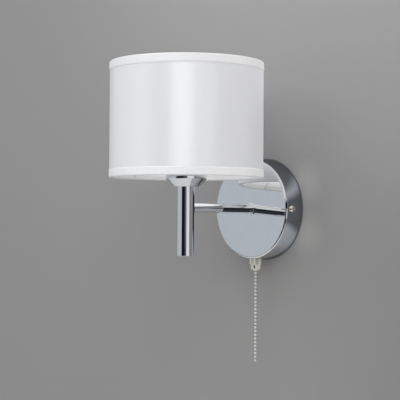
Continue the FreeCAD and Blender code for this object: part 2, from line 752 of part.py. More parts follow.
def lampholder_core():
    """Insulating core: the screw shell sits on its shoulder, over the well of the centre contact."""
    floor = HOLDER_BASE_TOP + CORE_FLOOR
    outline = [
        (0, HOLDER_BASE_TOP),
        (CORE_RADIUS, HOLDER_BASE_TOP),
        (CORE_RADIUS, CORE_TOP, 0.6),
        (SOCKET_OUTER_RADIUS, CORE_TOP),
        (SOCKET_OUTER_RADIUS, SOCKET_BOTTOM),
        (CONTACT_WELL_RADIUS, SOCKET_BOTTOM),
        (CONTACT_WELL_RADIUS, floor),
        (0, floor),
    ]
    core = turned(outline, "z", STEM_CENTRE)
    holes = [
        rod(LEAD_RADIUS, HOLDER_BASE_TOP - 1, floor + 1, "z", (side * LEAD_SPREAD / 2, STEM_Y, 0))
        for side in (-1, 1)
    ]
    return core.cut(holes)


def socket_shell():
    """Metal screw shell that the lamp's cap turns into; its thread is left smooth."""
    return tube(SOCKET_OUTER_RADIUS, SOCKET_RADIUS, SOCKET_BOTTOM, SOCKET_TOP, "z", STEM_CENTRE)


def centre_contact():
    """Sprung leaf on the core's floor that presses on the lamp's tip."""
    floor = HOLDER_BASE_TOP + CORE_FLOOR
    half = CONTACT_LENGTH / 2
    line = [
        (-half, floor),
        (-half + CONTACT_RISE, floor),
        (0, floor + CONTACT_RISE),
        (half - CONTACT_RISE, floor + CONTACT_RISE / 2),
    ]
    return prism(
        sheet_profile(line, CONTACT_THICKNESS),
        lambda u, v: vector(-CONTACT_WIDTH / 2, STEM_Y + u, v),
        vector(CONTACT_WIDTH, 0, 0),
    )


def shade_ring(low):
    """Moulded ring on the sleeve's thread, with finger grips round its rim."""
    outer = SLEEVE_RADIUS + SHADE_RING_WIDTH
    high = low + SHADE_RING_HEIGHT
    ease = SHADE_RING_CHAMFER
    ring = turned(
        [
            (SLEEVE_RADIUS, low),
            (outer - ease, low),
            (outer, low + ease),
            (outer, high - ease),
            (outer - ease, high),
            (SLEEVE_RADIUS, high),
        ],
        "z",
        STEM_CENTRE,
    )
    grips = []
    for index in range(SHADE_RING_GRIPS):
        angle = 2 * math.pi * index / SHADE_RING_GRIPS
        place = (outer * math.cos(angle), STEM_Y + outer * math.sin(angle), 0)
        grips.append(rod(SHADE_RING_GRIP_RADIUS, low - 1, high + 1, "z", place))
    return ring.cut(grips)


def shade_ring_lower():
    """Ring under the shade's gallery."""
    return shade_ring(GALLERY_HEIGHT - SHADE_RING_HEIGHT)


def shade_ring_upper():
    """Ring on top of the shade's gallery."""
    return shade_ring(GALLERY_HEIGHT + GALLERY_THICKNESS)


# ---------------------------------------------------------------- shade
def wire_ring(z):
    """Closed ring of round wire."""
    return Part.makeTorus(RING_RADIUS, WIRE_RADIUS, vector(0, STEM_Y, z), AXES["z"])


def spokes(clearance=0.0):
    """Bent wires: steeply up from the bottom ring, over a knee, and level in to the gallery."""
    level = GALLERY_HEIGHT + GALLERY_THICKNESS / 2
    stations = [
        (RING_RADIUS, BOTTOM_RING_Z),
        (RING_RADIUS - SPOKE_KNEE_RUN, level),
        (SPOKE_TOP_RADIUS, level),
    ]
    pieces = []
    for index in range(SPOKE_COUNT):
        angle = math.radians(SPOKE_FIRST_ANGLE + FULL_TURN * index / SPOKE_COUNT)
        route = [(r * math.cos(angle), STEM_Y + r * math.sin(angle), z) for r, z in stations]
        pieces.append(swept_tube(route, SPOKE_DIAMETER / 2 + clearance, [SPOKE_KNEE_RADIUS]))
    return pieces


def shade_spider():
    """Bottom wire ring, welded to spokes that rise to the flat gallery ring on the lampholder."""
    inner = SLEEVE_RADIUS + SLIP_CLEARANCE
    gallery_top = GALLERY_HEIGHT + GALLERY_THICKNESS
    gallery = tube(GALLERY_RADIUS, inner, GALLERY_HEIGHT, gallery_top, "z", STEM_CENTRE)
    return gallery.fuse([wire_ring(BOTTOM_RING_Z)] + spokes()).removeSplitter()


def shade_top_ring():
    """Wire ring in the shade's top edge."""
    return wire_ring(TOP_RING_Z)


def shade_liner():
    """Stiff white backing, rolled into a drum."""
    low, high = SHADE_BOTTOM + SHADE_EDGE, SHADE_TOP - SHADE_EDGE
    return tube(LINER_RADIUS, LINER_BORE, low, high, "z", STEM_CENTRE)


def shade_fabric():
    """Satin laminated on the liner."""
    low, high = SHADE_BOTTOM + SHADE_EDGE, SHADE_TOP - SHADE_EDGE
    return tube(FABRIC_RADIUS, LINER_RADIUS, low, high, "z", STEM_CENTRE)


def shade_tape(edge, inward):
    """Tape folded round an edge and its wire ring; inward is 1 where the shade lies above the edge."""
    line = [
        (SHADE_RADIUS, edge + inward * TAPE_HEIGHT),
        (SHADE_RADIUS, edge),
        (TAPE_BORE, edge),
        (TAPE_BORE, edge + inward * TAPE_INNER_HEIGHT),
    ]
    return turned(sheet_profile(line, -inward * TAPE_THICKNESS), "z", STEM_CENTRE)


def shade_bottom_hem():
    """Tape round the bottom edge, with a notch for each spoke."""
    return shade_tape(SHADE_BOTTOM, 1).cut(spokes(SCREW_CLEARANCE))


def shade_top_hem():
    """Tape round the top edge."""
    return shade_tape(SHADE_TOP, -1)


# ---------------------------------------------------------------- leads
def lead(side):
    """Insulated lead: down from its pole, through rod, arm and stem, up into the lampholder's core."""
    wire_y = BRACKET_FRONT - BLOCK_WIRE_HEIGHT
    x = side * LEAD_SPREAD / 2
    pole = side * POLE_PITCH
    route = [
        (pole, wire_y, BLOCK_BOTTOM + LEAD_IN_BLOCK),
        (pole, wire_y, BLOCK_BOTTOM - LEAD_BELOW_BLOCK),
        (x, wire_y, 0),
        (x, STEM_Y, 0),
        (x, STEM_Y, HOLDER_BASE_TOP + CORE_FLOOR),
    ]
    bends = (LEAD_POLE_TURN_RADIUS, LEAD_ARM_TURN_RADIUS, LEAD_STEM_TURN_RADIUS)
    return swept_tube(route, LEAD_RADIUS, bends)


def lead_live():
    """Brown lead."""
    return lead(1)


def lead_neutral():
    """Blue lead."""
    return lead(-1)


# ---------------------------------------------------------------- pull switch
def switch_housing():
    """Moulded box inside the canopy, open towards the wall, with a boss for the drum's pin."""
    low = (HOUSING_LEFT, HOUSING_FRONT, HOUSING_BOTTOM)
    high = (HOUSING_LEFT + HOUSING_WIDTH, HOUSING_BACK, HOUSING_TOP)
    box = block(low, high)
    room = block(
        (low[0] + HOUSING_WALL, low[1] + HOUSING_WALL, low[2] + HOUSING_WALL),
        (high[0] - HOUSING_WALL, high[1], high[2] - HOUSING_WALL),
    )
    mouth = rod(BARREL_RADIUS, HOUSING_BOTTOM - 1, HOUSING_BOTTOM + HOUSING_WALL + 1, "z", (0, SWITCH_Y, 0))
    return box.cut([room, mouth])


def switch_lid():
    """Lid on the housing's wall side."""
    return block(
        (HOUSING_LEFT, HOUSING_BACK, HOUSING_BOTTOM),
        (HOUSING_LEFT + HOUSING_WIDTH, HOUSING_BACK + HOUSING_LID_THICKNESS, HOUSING_TOP),
    )


def switch_barrel():
    """Threaded tube from the housing down through the canopy's rim, into the collar."""
    top = HOUSING_BOTTOM + HOUSING_WALL
    return tube(BARREL_RADIUS, BARREL_BORE_RADIUS, BARREL_BOTTOM, top, "z", (0, SWITCH_Y, 0))


def switch_inner_nut():
    """Nut between the housing and the canopy's wall."""
    low = HOUSING_BOTTOM - INNER_NUT_THICKNESS
    return hex_nut(INNER_NUT_ACROSS_FLATS, BARREL_RADIUS, low, HOUSING_BOTTOM, "z", (0, SWITCH_Y, 0))


def switch_collar():
    """Round knurled nut outside the canopy, on the barrel above and the outlet's neck below."""
    steps = 2 * COLLAR_KNURLS
    corners = []
    for index in range(steps):
        radius = COLLAR_RADIUS - (index % 2) * COLLAR_KNURL_DEPTH
        angle = 2 * math.pi * index / steps
        corners.append((radius * math.cos(angle), radius * math.sin(angle)))
    body = prism(
        corners,
        lambda u, v: vector(u, SWITCH_Y + v, OUTLET_TOP),
        vector(0, 0, COLLAR_HEIGHT),
    )
    return body.cut(rod(BARREL_RADIUS, OUTLET_TOP, -CANOPY_RADIUS, "z", (0, SWITCH_Y, 0)))


def outlet_keyhole():
    """Room of the keyhole: a round hole and a narrower one above it, joined by a slot, out to one side."""
    turn = math.radians(OUTLET_TURN)
    out = vector(math.cos(turn), math.sin(turn), 0)
    aside = vector(-out.y, out.x, 0)
    low = vector(0, SWITCH_Y, OUTLET_BLOCK_BOTTOM + KEYHOLE_ABOVE_NOSE)
    high = low + AXES["z"] * KEYHOLE_RISE
    half = KEYHOLE_SLOT_RADIUS
    slot = prism(
        [(-half, 0), (half, 0), (half, KEYHOLE_RISE), (-half, KEYHOLE_RISE)],
        lambda u, v: low + aside * u + AXES["z"] * v,
        out * OUTLET_WIDTH,
    )
    return [
        Part.makeCylinder(KEYHOLE_RADIUS, OUTLET_WIDTH, low, out),
        Part.makeCylinder(half, OUTLET_WIDTH, high, out),
        slot,
    ]


def switch_outlet():
    """Square end nut with a keyhole, a neck up into the collar and a round nose for the chain."""
    centre = (0, SWITCH_Y, 0)
    turn = math.radians(OUTLET_TURN)
    reach = OUTLET_WIDTH / math.sqrt(2)
    angles = [turn + math.pi * (0.25 + 0.5 * index) for index in range(4)]
    body = prism(
        [(reach * math.cos(a), reach * math.sin(a)) for a in angles],
        lambda u, v: vector(u, SWITCH_Y + v, OUTLET_BLOCK_BOTTOM),
        vector(0, 0, OUTLET_BLOCK_HEIGHT),
    )
    envelope = turned(
        [
            (0, OUTLET_BLOCK_BOTTOM),
            (reach - OUTLET_CORNER_EASE, OUTLET_BLOCK_BOTTOM),
            (reach, OUTLET_BLOCK_BOTTOM + OUTLET_CORNER_EASE),
            (reach, OUTLET_TOP),
            (0, OUTLET_TOP),
        ],
        "z",
        centre,
    )
    bore = rod(OUTLET_BORE_RADIUS, OUTLET_BLOCK_BOTTOM, OUTLET_TOP, "z", centre)
    spindle = turned(
        [
            (OUTLET_BORE_RADIUS, OUTLET_BOTTOM),
            (OUTLET_NOSE_RADIUS, OUTLET_BOTTOM, OUTLET_NOSE_HEIGHT * 0.4),
            (OUTLET_NOSE_RADIUS, OUTLET_TOP),
            (BARREL_RADIUS, OUTLET_TOP),
            (BARREL_RADIUS, OUTLET_TOP + OUTLET_NECK_LENGTH),
            (OUTLET_BORE_RADIUS, OUTLET_TOP + OUTLET_NECK_LENGTH),
        ],
        "z",
        centre,
    )
    nut = body.common(envelope).cut(bore).fuse(spindle).removeSplitter()
    return nut.cut(outlet_keyhole())


def chain_string(highest, count, open_top=0.0, open_bottom=0.0):
    """String of balls on short links; an open end carries a link of that length past its last ball."""
    waist = math.sqrt(BALL_RADIUS**2 - LINK_RADIUS**2)
    edges = []
    place = lambda r, z: vector(r, SWITCH_Y, z)
    top = highest + (waist + open_top if open_top else BALL_RADIUS)
    bottom = highest - (count - 1) * BALL_PITCH - (waist + open_bottom if open_bottom else BALL_RADIUS)
    here = place(0, top)
    if open_top:
        edges.append(Part.LineSegment(here, place(LINK_RADIUS, top)).toShape())
        edges.append(Part.LineSegment(place(LINK_RADIUS, top), place(LINK_RADIUS, highest + waist)).toShape())
        here = place(LINK_RADIUS, highest + waist)
    for index in range(count):
        z = highest - index * BALL_PITCH
        last = index == count - 1 and not open_bottom
        leave = place(0, bottom) if last else place(LINK_RADIUS, z - waist)
        edges.append(Part.Arc(here, place(BALL_RADIUS, z), leave).toShape())
        here = leave
        if index < count - 1:
            following = place(LINK_RADIUS, z - BALL_PITCH + waist)
            edges.append(Part.LineSegment(here, following).toShape())
            here = following
    if open_bottom:
        edges.append(Part.LineSegment(here, place(LINK_RADIUS, bottom)).toShape())
        edges.append(Part.LineSegment(place(LINK_RADIUS, bottom), place(0, bottom)).toShape())
    edges.append(Part.LineSegment(place(0, bottom), place(0, top)).toShape())
    face = Part.Face(Part.Wire(edges))
    return upright(face.revolve(place(0, 0), AXES["z"], FULL_TURN))


# The chain's balls inside the switch: whole pitches from the swivel ball up to the drum
UPPER_BALLS = int((DRUM_Z - SWIVEL_Z) / BALL_PITCH)
UPPER_TOP_Z = SWIVEL_Z + UPPER_BALLS * BALL_PITCH
LINK_REACH = BALL_PITCH - math.sqrt(BALL_RADIUS**2 - LINK_RADIUS**2) - BALL_RADIUS - SWIVEL_CLEARANCE


def pull_chain_upper():
    """Chain inside the barrel, from the drum down to just above the swivel ball."""
    return chain_string(UPPER_TOP_Z, UPPER_BALLS, open_bottom=LINK_REACH)


def chain_swivel_ball():
    """First ball under the outlet, about which the hanging chain swings."""
    return Part.makeSphere(BALL_RADIUS, vector(0, SWITCH_Y, SWIVEL_Z))


def pull_chain():
    """Chain that hangs under the swivel ball and ends bare in its last ball."""
    return chain_string(SWIVEL_Z - BALL_PITCH, HANGING_BALLS - 1, open_top=LINK_REACH)


def chain_drum():
    """Grooved wheel that the chain's top lies over; its flanges keep the balls in."""
    middle = SWITCH_Y
    groove = DRUM_GROOVE / 2
    bore = PIN_RADIUS + PIN_CLEARANCE
    outline = [
        (bore, DRUM_FRONT),
        (DRUM_FLANGE_RADIUS, DRUM_FRONT),
        (DRUM_FLANGE_RADIUS, middle - groove),
        (DRUM_HUB_RADIUS, middle - groove),
        (DRUM_HUB_RADIUS, middle + groove),
        (DRUM_FLANGE_RADIUS, middle + groove),
        (DRUM_FLANGE_RADIUS, DRUM_BACK),
        (bore, DRUM_BACK),
    ]
    return turned(outline, "y", (DRUM_X, 0, DRUM_Z))


def drum_balls():
    """Last balls of the chain, lying on the drum one pitch apart."""
    balls = []
    for index in range(1, DRUM_BALLS + 1):
        past_tangent = index * BALL_PITCH - (DRUM_Z - UPPER_TOP_Z)
        angle = math.pi - past_tangent / DRUM_PITCH_RADIUS
        x = DRUM_X + DRUM_PITCH_RADIUS * math.cos(angle)
        z = DRUM_Z + DRUM_PITCH_RADIUS * math.sin(angle)
        balls.append(Part.makeSphere(BALL_RADIUS, vector(x, SWITCH_Y, z)))
    return together(balls)


def drum_pin():
    """Pin across the housing that the drum turns on."""
    return rod(PIN_RADIUS, HOUSING_FRONT + HOUSING_WALL, HOUSING_BACK, "y", (DRUM_X, 0, DRUM_Z))


def drum_spring():
    """Torsion spring beside the drum that winds the chain back."""
    low = DRUM_BACK + SPRING_THICKNESS / 4
    return tube(
        SPRING_OUTER_RADIUS, SPRING_INNER_RADIUS, low, low + SPRING_THICKNESS, "y", (DRUM_X, 0, DRUM_Z)
    )


def switch_contacts():
    """Pair of contact leaves on the housing's floor beside the drum."""
    floor = HOUSING_BOTTOM + HOUSING_WALL
    right = HOUSING_LEFT + HOUSING_WIDTH - HOUSING_WALL
    leaves = []
    for y in (HOUSING_FRONT + HOUSING_WALL, HOUSING_BACK - LEAF_WIDTH):
        low = (right - LEAF_THICKNESS, y, floor)
        high = (right, y + LEAF_WIDTH, floor + LEAF_HEIGHT)
        leaves.append(block(low, high))
    return together(leaves)


PARTS = [
    canopy_cover,
    wall_bracket,
    canopy_screws,
    earth_screw,
    earth_washer,
    terminal_block,
    terminal_screws,
    arm_tube,
    arm_collar,
    arm_rod,
    arm_washer,
    arm_lock_nut,
    stem_tube,
    stem_end_cap,
    stem_bush,
    stem_rod,
    holder_cup,
    cup_nut,
    lampholder_base,
    lampholder_sleeve,
    lampholder_core,
    socket_shell,
    centre_contact,
    shade_ring_lower,
    shade_ring_upper,
    shade_spider,
    shade_top_ring,
    shade_liner,
    shade_fabric,
    shade_bottom_hem,
    shade_top_hem,
    lead_live,
    lead_neutral,
    switch_housing,
    switch_lid,
    switch_barrel,
    switch_inner_nut,
    switch_collar,
    switch_outlet,
    pull_chain_upper,
    chain_swivel_ball,
    pull_chain,
    chain_drum,
    drum_balls,
    drum_pin,
    drum_spring,
    switch_contacts,
]

os.makedirs("parts", exist_ok=True)
for make in PARTS:
    shape = make()
    shape.exportStep(f"parts/{make.__name__}.step")
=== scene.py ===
"""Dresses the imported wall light, a chrome bracket with a satin drum shade, for a studio picture.

Metres, in the frame of the solids: the wall is the plane Y = 0, the light stands out from it towards -Y,
and +Z is up.
"""
import json
import logging
import math
from dataclasses import dataclass, replace
from enum import Enum

import bmesh
import bpy
import numpy as np
from mathutils import Matrix, Vector


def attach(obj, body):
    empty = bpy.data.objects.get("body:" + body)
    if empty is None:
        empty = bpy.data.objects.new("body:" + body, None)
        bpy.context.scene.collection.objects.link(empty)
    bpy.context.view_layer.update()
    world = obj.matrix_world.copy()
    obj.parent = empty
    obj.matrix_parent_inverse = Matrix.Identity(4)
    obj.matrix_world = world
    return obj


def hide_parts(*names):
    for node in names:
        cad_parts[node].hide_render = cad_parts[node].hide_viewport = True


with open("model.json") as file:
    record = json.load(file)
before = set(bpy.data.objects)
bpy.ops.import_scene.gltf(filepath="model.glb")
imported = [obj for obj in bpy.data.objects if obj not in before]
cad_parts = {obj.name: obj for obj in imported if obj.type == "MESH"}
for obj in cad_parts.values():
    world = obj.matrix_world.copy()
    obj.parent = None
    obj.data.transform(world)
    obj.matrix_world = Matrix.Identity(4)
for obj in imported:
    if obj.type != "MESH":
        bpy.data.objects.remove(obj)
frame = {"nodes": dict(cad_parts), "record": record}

log = logging.getLogger("wall_light")

Colour = tuple[float, float, float]
TURN = 2 * math.pi
STEM_AXIS = (0.0, -0.109)
SWITCH_AXIS = (0.0, -0.014)


class Body(Enum):
    """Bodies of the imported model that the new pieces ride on."""

    FIXTURE = "fixture"
    SWIVEL = "chain_swivel"
    CHAIN = "chain_hang"


class Lay(Enum):
    """Which way the fine marks of a metal finish run."""

    NONE = (1.0, 1.0, 1.0)
    ACROSS = (0.08, 1.0, 1.0)
    UPWARDS = (1.0, 1.0, 0.08)


# ---------------------------------------------------------------- shader wiring
class Signal:
    """Value of one shader socket; Python's operators on it add Math nodes."""

    def __init__(self, board: "Board", socket: bpy.types.NodeSocket) -> None:
        """Keeps the socket and the board it is wired on."""
        self.board = board
        self.socket = socket

    def maths(self, operation: str, *operands: "Signal | float") -> "Signal":
        """Adds one Math node.

        Args:
            operation: Name of the Math node's operation.
            *operands: Values or signals for its sockets, in order.

        Returns:
            The node's result.
        """
        return self.board.read("ShaderNodeMath", {"operation": operation}, dict(enumerate(operands)))

    def __add__(self, other: "Signal | float") -> "Signal":
        """Sum."""
        return self.maths("ADD", self, other)

    def __radd__(self, other: float) -> "Signal":
        """Sum, with the number first."""
        return self.maths("ADD", other, self)

    def __sub__(self, other: "Signal | float") -> "Signal":
        """Difference."""
        return self.maths("SUBTRACT", self, other)

    def __rsub__(self, other: float) -> "Signal":
        """Difference, with the number first."""
        return self.maths("SUBTRACT", other, self)

    def __mul__(self, other: "Signal | float") -> "Signal":
        """Product."""
        return self.maths("MULTIPLY", self, other)

    def __rmul__(self, other: float) -> "Signal":
        """Product, with the number first."""
        return self.maths("MULTIPLY", other, self)

    def __truediv__(self, other: "Signal | float") -> "Signal":
        """Quotient."""
        return self.maths("DIVIDE", self, other)

    def __rtruediv__(self, other: float) -> "Signal":
        """Quotient, with the number first."""
        return self.maths("DIVIDE", other, self)

    def __pow__(self, other: "Signal | float") -> "Signal":
        """Power."""
        return self.maths("POWER", self, other)

    def __rpow__(self, other: float) -> "Signal":
        """Power, with the number first."""
        return self.maths("POWER", other, self)

    def __neg__(self) -> "Signal":
        """Negative."""
        return self.maths("MULTIPLY", self, -1.0)

    def sine(self) -> "Signal":
        """Sine of an angle in radians."""
        return self.maths("SINE", self)

    def size(self) -> "Signal":
        """Absolute value."""
        return self.maths("ABSOLUTE", self)

    def bearing(self, ahead: "Signal") -> "Signal":
        """Angle in radians whose sine goes with this value and whose cosine goes with ahead."""
        return self.maths("ARCTAN2", self, ahead)

    def larger(self, other: "Signal | float") -> "Signal":
        """The larger of two values."""
        return self.maths("MAXIMUM", self, other)

    def between(self, low: float, high: float) -> "Signal":
        """Smooth step.

        Args:
            low: Value that gives 0, as does everything before it.
            high: Value that gives 1, as does everything past it.

        Returns:
            The step's height.
        """
        settings = {"interpolation_type": "SMOOTHSTEP", "clamp": True}
        return self.board.read("ShaderNodeMapRange", settings, {0: self, 1: low, 2: high, 3: 0.0, 4: 1.0})


class Board:
    """Node tree of a material or the world, emptied and wired afresh."""

    def __init__(self, owner: bpy.types.Material | bpy.types.World) -> None:
        """Turns nodes on for the owner and clears its tree."""
        owner.use_nodes = True
        self.tree = owner.node_tree
        self.tree.nodes.clear()

    def node(self, kind: str, settings: dict | None = None, inputs: dict | None = None) -> bpy.types.Node:
        """Adds a node.

        Args:
            kind: Node type.
            settings: Properties that are set first; "stops" holds a ramp's (place, colour) pairs.
            inputs: Values, signals or sockets by socket name or number.

        Returns:
            The node.
        """
        made = self.tree.nodes.new(kind)
        for name, value in (settings or {}).items():
            if name == "stops":
                self.set_stops(made.color_ramp, value)
            else:
                setattr(made, name, value)
        for key, value in (inputs or {}).items():
            self.feed(made.inputs[key], value)
        return made

    @staticmethod
    def set_stops(ramp: bpy.types.ColorRamp, stops: list[tuple[float, Colour]]) -> None:
        """Gives a colour ramp its stops, in order of place."""
        while len(ramp.elements) < len(stops):
            ramp.elements.new(1.0)
        for element, (place, colour) in zip(ramp.elements, stops):
            element.position = place
            element.color = (*colour, 1.0)

    def feed(
        self, socket: bpy.types.NodeSocket, value: "Signal | bpy.types.NodeSocket | float | tuple"
    ) -> None:
        """Links a signal or socket to a socket, or sets the socket's own value."""
        if isinstance(value, Signal):
            value = value.socket
        if isinstance(value, bpy.types.NodeSocket):
            self.tree.links.new(value, socket)
        elif isinstance(value, tuple) and len(value) == 3 and socket.type == "RGBA":
            socket.default_value = (*value, 1.0)
        else:
            socket.default_value = value

    def read(
        self, kind: str, settings: dict | None = None, inputs: dict | None = None, output: int | str = 0
    ) -> Signal:
        """Adds a node and takes one of its outputs.

        Args:
            kind: Node type.
            settings: As for node.
            inputs: As for node.
            output: Name or number of the output.

        Returns:
            The output as a signal.
        """
        return Signal(self, self.node(kind, settings, inputs).outputs[output])

    def place(self) -> Signal:
        """Object coordinates, in metres."""
        return self.read("ShaderNodeTexCoord", output="Object")

    def map_place(self) -> Signal:
        """The piece's own UV map, in metres along the cloth."""
        return self.read("ShaderNodeUVMap", {"uv_map": "cloth"})

    def stretched(self, vector: Signal, scale: tuple[float, float, float]) -> Signal:
        """Scales a vector by three factors."""
        return self.read("ShaderNodeVectorMath", {"operation": "MULTIPLY"}, {0: vector, 1: scale})

    def part(self, vector: Signal, axis: str) -> Signal:
        """One component, X, Y or Z, of a vector."""
        return self.read("ShaderNodeSeparateXYZ", None, {0: vector}, axis)

    def along(self, vector: Signal, direction: tuple[float, float, float]) -> Signal:
        """Dot product of a vector with a fixed direction."""
        settings = {"operation": "DOT_PRODUCT"}
        return self.read("ShaderNodeVectorMath", settings, {0: vector, 1: direction}, "Value")

    def noise(self, vector: Signal, scale: float, detail: float = 2.0, rough: float = 0.5) -> Signal:
        """Soft noise, from 0 to 1 with its mean near a half; scale is features to the metre."""
        inputs = {"Vector": vector, "Scale": scale, "Detail": detail, "Roughness": rough}
        return self.read("ShaderNodeTexNoise", None, inputs)

    def blend(self, share: Signal | float, first: "Signal | Colour", second: "Signal | Colour") -> Signal:
        """Mixes two colours, all first at 0 and all second at 1."""
        settings = {"data_type": "RGBA", "clamp_factor": True}
        return self.read("ShaderNodeMix", settings, {0: share, 6: first, 7: second}, 2)

    def relief(self, height: Signal, distance: float) -> Signal:
        """Normal bent by a height from 0 to 1 that stands for a distance in metres."""
        return self.read("ShaderNodeBump", None, {"Height": height, "Distance": distance, "Strength": 1.0})

    def surface(self, **sockets: "Signal | float | tuple") -> None:
        """Ends a material in one Principled shader; socket names have _ for each space."""
        inputs = {name.replace("_", " "): value for name, value in sockets.items()}
        shader = self.node("ShaderNodeBsdfPrincipled", None, inputs)
        self.node("ShaderNodeOutputMaterial", None, {"Surface": shader.outputs[0]})


def fresh_material(name: str) -> tuple[bpy.types.Material, Board]:
    """An empty material and its board."""
    material = bpy.data.materials.new(name)
    return material, Board(material)


# ---------------------------------------------------------------- finishes
@dataclass(frozen=True)
class Plating:
    """Plated metal: a clear mirror or a satin one, faintly clouded, with fine polishing marks.

    A lean is the slope by which a pressed face falls back to the wall with height.
    """

    name: str
    colour: Colour
    cloud_colour: Colour
    roughness: float
    cloud: float = 0.05
    marks: float = 0.02
    mark_scale: float = 1500.0
    ripple: float = 0.000004
    lay: Lay = Lay.NONE
    cloud_share: float = 0.55
    lean: float = 0.0
    metal: float = 1.0

    def tint(self, board: Board, place: Signal, clouds: Signal) -> Signal:
        """Base colour: the plating, tinted by its clouds."""
        return board.blend(clouds * self.cloud_share, self.colour, self.cloud_colour)

    def make(self) -> bpy.types.Material:
        """Builds the material.

        Returns:
            Metal whose clouds tint the colour and, with the marks, lift the roughness.
        """
        material, board = fresh_material(self.name)
        place = board.place()
        clouds = board.noise(place, 70.0, 3.0).between(0.42, 0.78)
        marks = board.noise(board.stretched(place, self.lay.value), self.mark_scale, 2.0, 0.6)
        height = board.noise(place, 45.0, 1.0) + marks * (self.marks * 0.5)
        if self.lean:
            height = height - board.part(place, "Z") * (self.lean / self.ripple)
        board.surface(
            Base_Color=self.tint(board, place, clouds),
            Metallic=self.metal,
            Roughness=self.roughness + clouds * self.cloud + (marks - 0.5).size() * self.marks,
            Normal=board.relief(height, self.ripple),
        )
        return material


@dataclass(frozen=True)
class BoreShadePlating(Plating):
    """Plating of the chain's square outlet, with black painted shade in its bore and keyhole."""

    turn: float = math.radians(-63.7)
    reach: float = 0.00374
    bore: float = 0.00175
    bottom: float = -0.06065
    blur: float = 0.00005
    painted_bore_shade: Colour = (0.008, 0.008, 0.008)

    def tint(self, board: Board, place: Signal, clouds: Signal) -> Signal:
        """Base colour.

        Args:
            board: Board of the material.
            place: Object coordinates.
            clouds: Strength of the clouds.

        Returns:
            The plating's colour, and black painted shade within the block's faces and the bore's width.
        """
        out = (math.cos(self.turn), math.sin(self.turn), 0.0)
        aside = (-out[1], out[0], 0.0)
        # Painted shade: black inside the outlet's bore and keyhole.
        inside = board.part(place, "Z").between(self.bottom, self.bottom + self.blur)
        for direction, limit in ((out, self.reach), (aside, self.bore)):
            centre = SWITCH_AXIS[0] * direction[0] + SWITCH_AXIS[1] * direction[1]
            offset = (board.along(place, direction) - centre).size()
            inside = inside * (1.0 - offset.between(limit - self.blur, limit))
        return board.blend(inside, super().tint(board, place, clouds), self.painted_bore_shade)


@dataclass(frozen=True)
class Satin:
    """White satin: long floats up the shade, crossed by fine threads, with faint upright streaks."""

    name: str
    colour: Colour
    shade_colour: Colour
    thread: float = 0.00028
    lustre: float = 0.2
    sheen: float = 0.12

    def make(self) -> bpy.types.Material:
        """Builds the material.

        Returns:
            Cloth whose threads follow the piece's own map, in real sizes.
        """
        material, board = fresh_material(self.name)
        cloth = board.map_place()
        across, up = board.part(cloth, "X"), board.part(cloth, "Y")
        slub = board.noise(board.stretched(cloth, (1.0, 0.02, 1.0)), 420.0, 3.0, 0.6)
        streak = board.noise(board.stretched(cloth, (1.0, 0.05, 1.0)), 60.0, 2.0)
        warp = (across * (TURN / self.thread)).sine()
        weft = (up * (TURN / (self.thread * 0.8)) + across * (TURN / (self.thread * 5))).sine()
        threads = warp * 0.35 + weft * 0.15 + 0.5
        tint = slub * 0.5 + streak * 0.35 + threads * 0.15
        board.surface(
            Base_Color=board.blend(tint.between(0.3, 0.72), self.shade_colour, self.colour),
            Metallic=self.lustre,
            Roughness=0.32 + slub * 0.1 + threads * 0.05,
            Normal=board.relief(threads * 0.6 + slub * 0.4, 0.000012),
            Sheen_Weight=self.sheen,
            Sheen_Roughness=0.4,
            IOR=1.6,
            Specular_IOR_Level=1.0,
            Anisotropic=1.0,
            Anisotropic_Rotation=0.25,
        )
        return material


@dataclass(frozen=True)
class Tape:
    """White edge tape: a fine plain weave, pressed smooth."""

    name: str
    colour: Colour
    shade_colour: Colour
    thread: float = 0.0004

    def make(self) -> bpy.types.Material:
        """Builds the material.

        Returns:
            Plain weave whose two thread systems follow the piece's own map.
        """
        material, board = fresh_material(self.name)
        cloth = board.map_place()
        across, up = board.part(cloth, "X"), board.part(cloth, "Y")
        mottle = board.noise(cloth, 260.0, 3.0)
        warp = (across * (TURN / self.thread)).sine()
        weft = (up * (TURN / self.thread)).sine()
        threads = warp * weft * 0.5 + 0.5
        tint = threads * 0.35 + mottle * 0.65
        board.surface(
            Base_Color=board.blend(tint.between(0.25, 0.7), self.shade_colour, self.colour),
            Roughness=0.58 + mottle * 0.14,
            Normal=board.relief(threads, 0.00005),
            Sheen_Weight=0.1,
        )
        return material


@dataclass(frozen=True)
class Moulding:
    """Moulded or coated surface: even colour, faint clouds and a fine grain."""

    name: str
    colour: Colour
    cloud_colour: Colour
    roughness: float
    grain: float = 0.00002
    grain_scale: float = 2600.0
    gloss: float = 0.0

    def make(self) -> bpy.types.Material:
        """Builds the material.

        Returns:
            Plastic, glaze, film or paint, by its roughness, grain and clear coat.
        """
        material, board = fresh_material(self.name)
        place = board.place()
        clouds = board.noise(place, 120.0, 3.0).between(0.35, 0.75)
        grain = board.noise(place, self.grain_scale, 2.0, 0.6)
        board.surface(
            Base_Color=board.blend(clouds, self.colour, self.cloud_colour),
            Roughness=self.roughness + clouds * 0.06 + (grain - 0.5) * 0.08,
            Normal=board.relief(grain, self.grain),
            Coat_Weight=self.gloss,
            Coat_Roughness=0.06,
        )
        return material


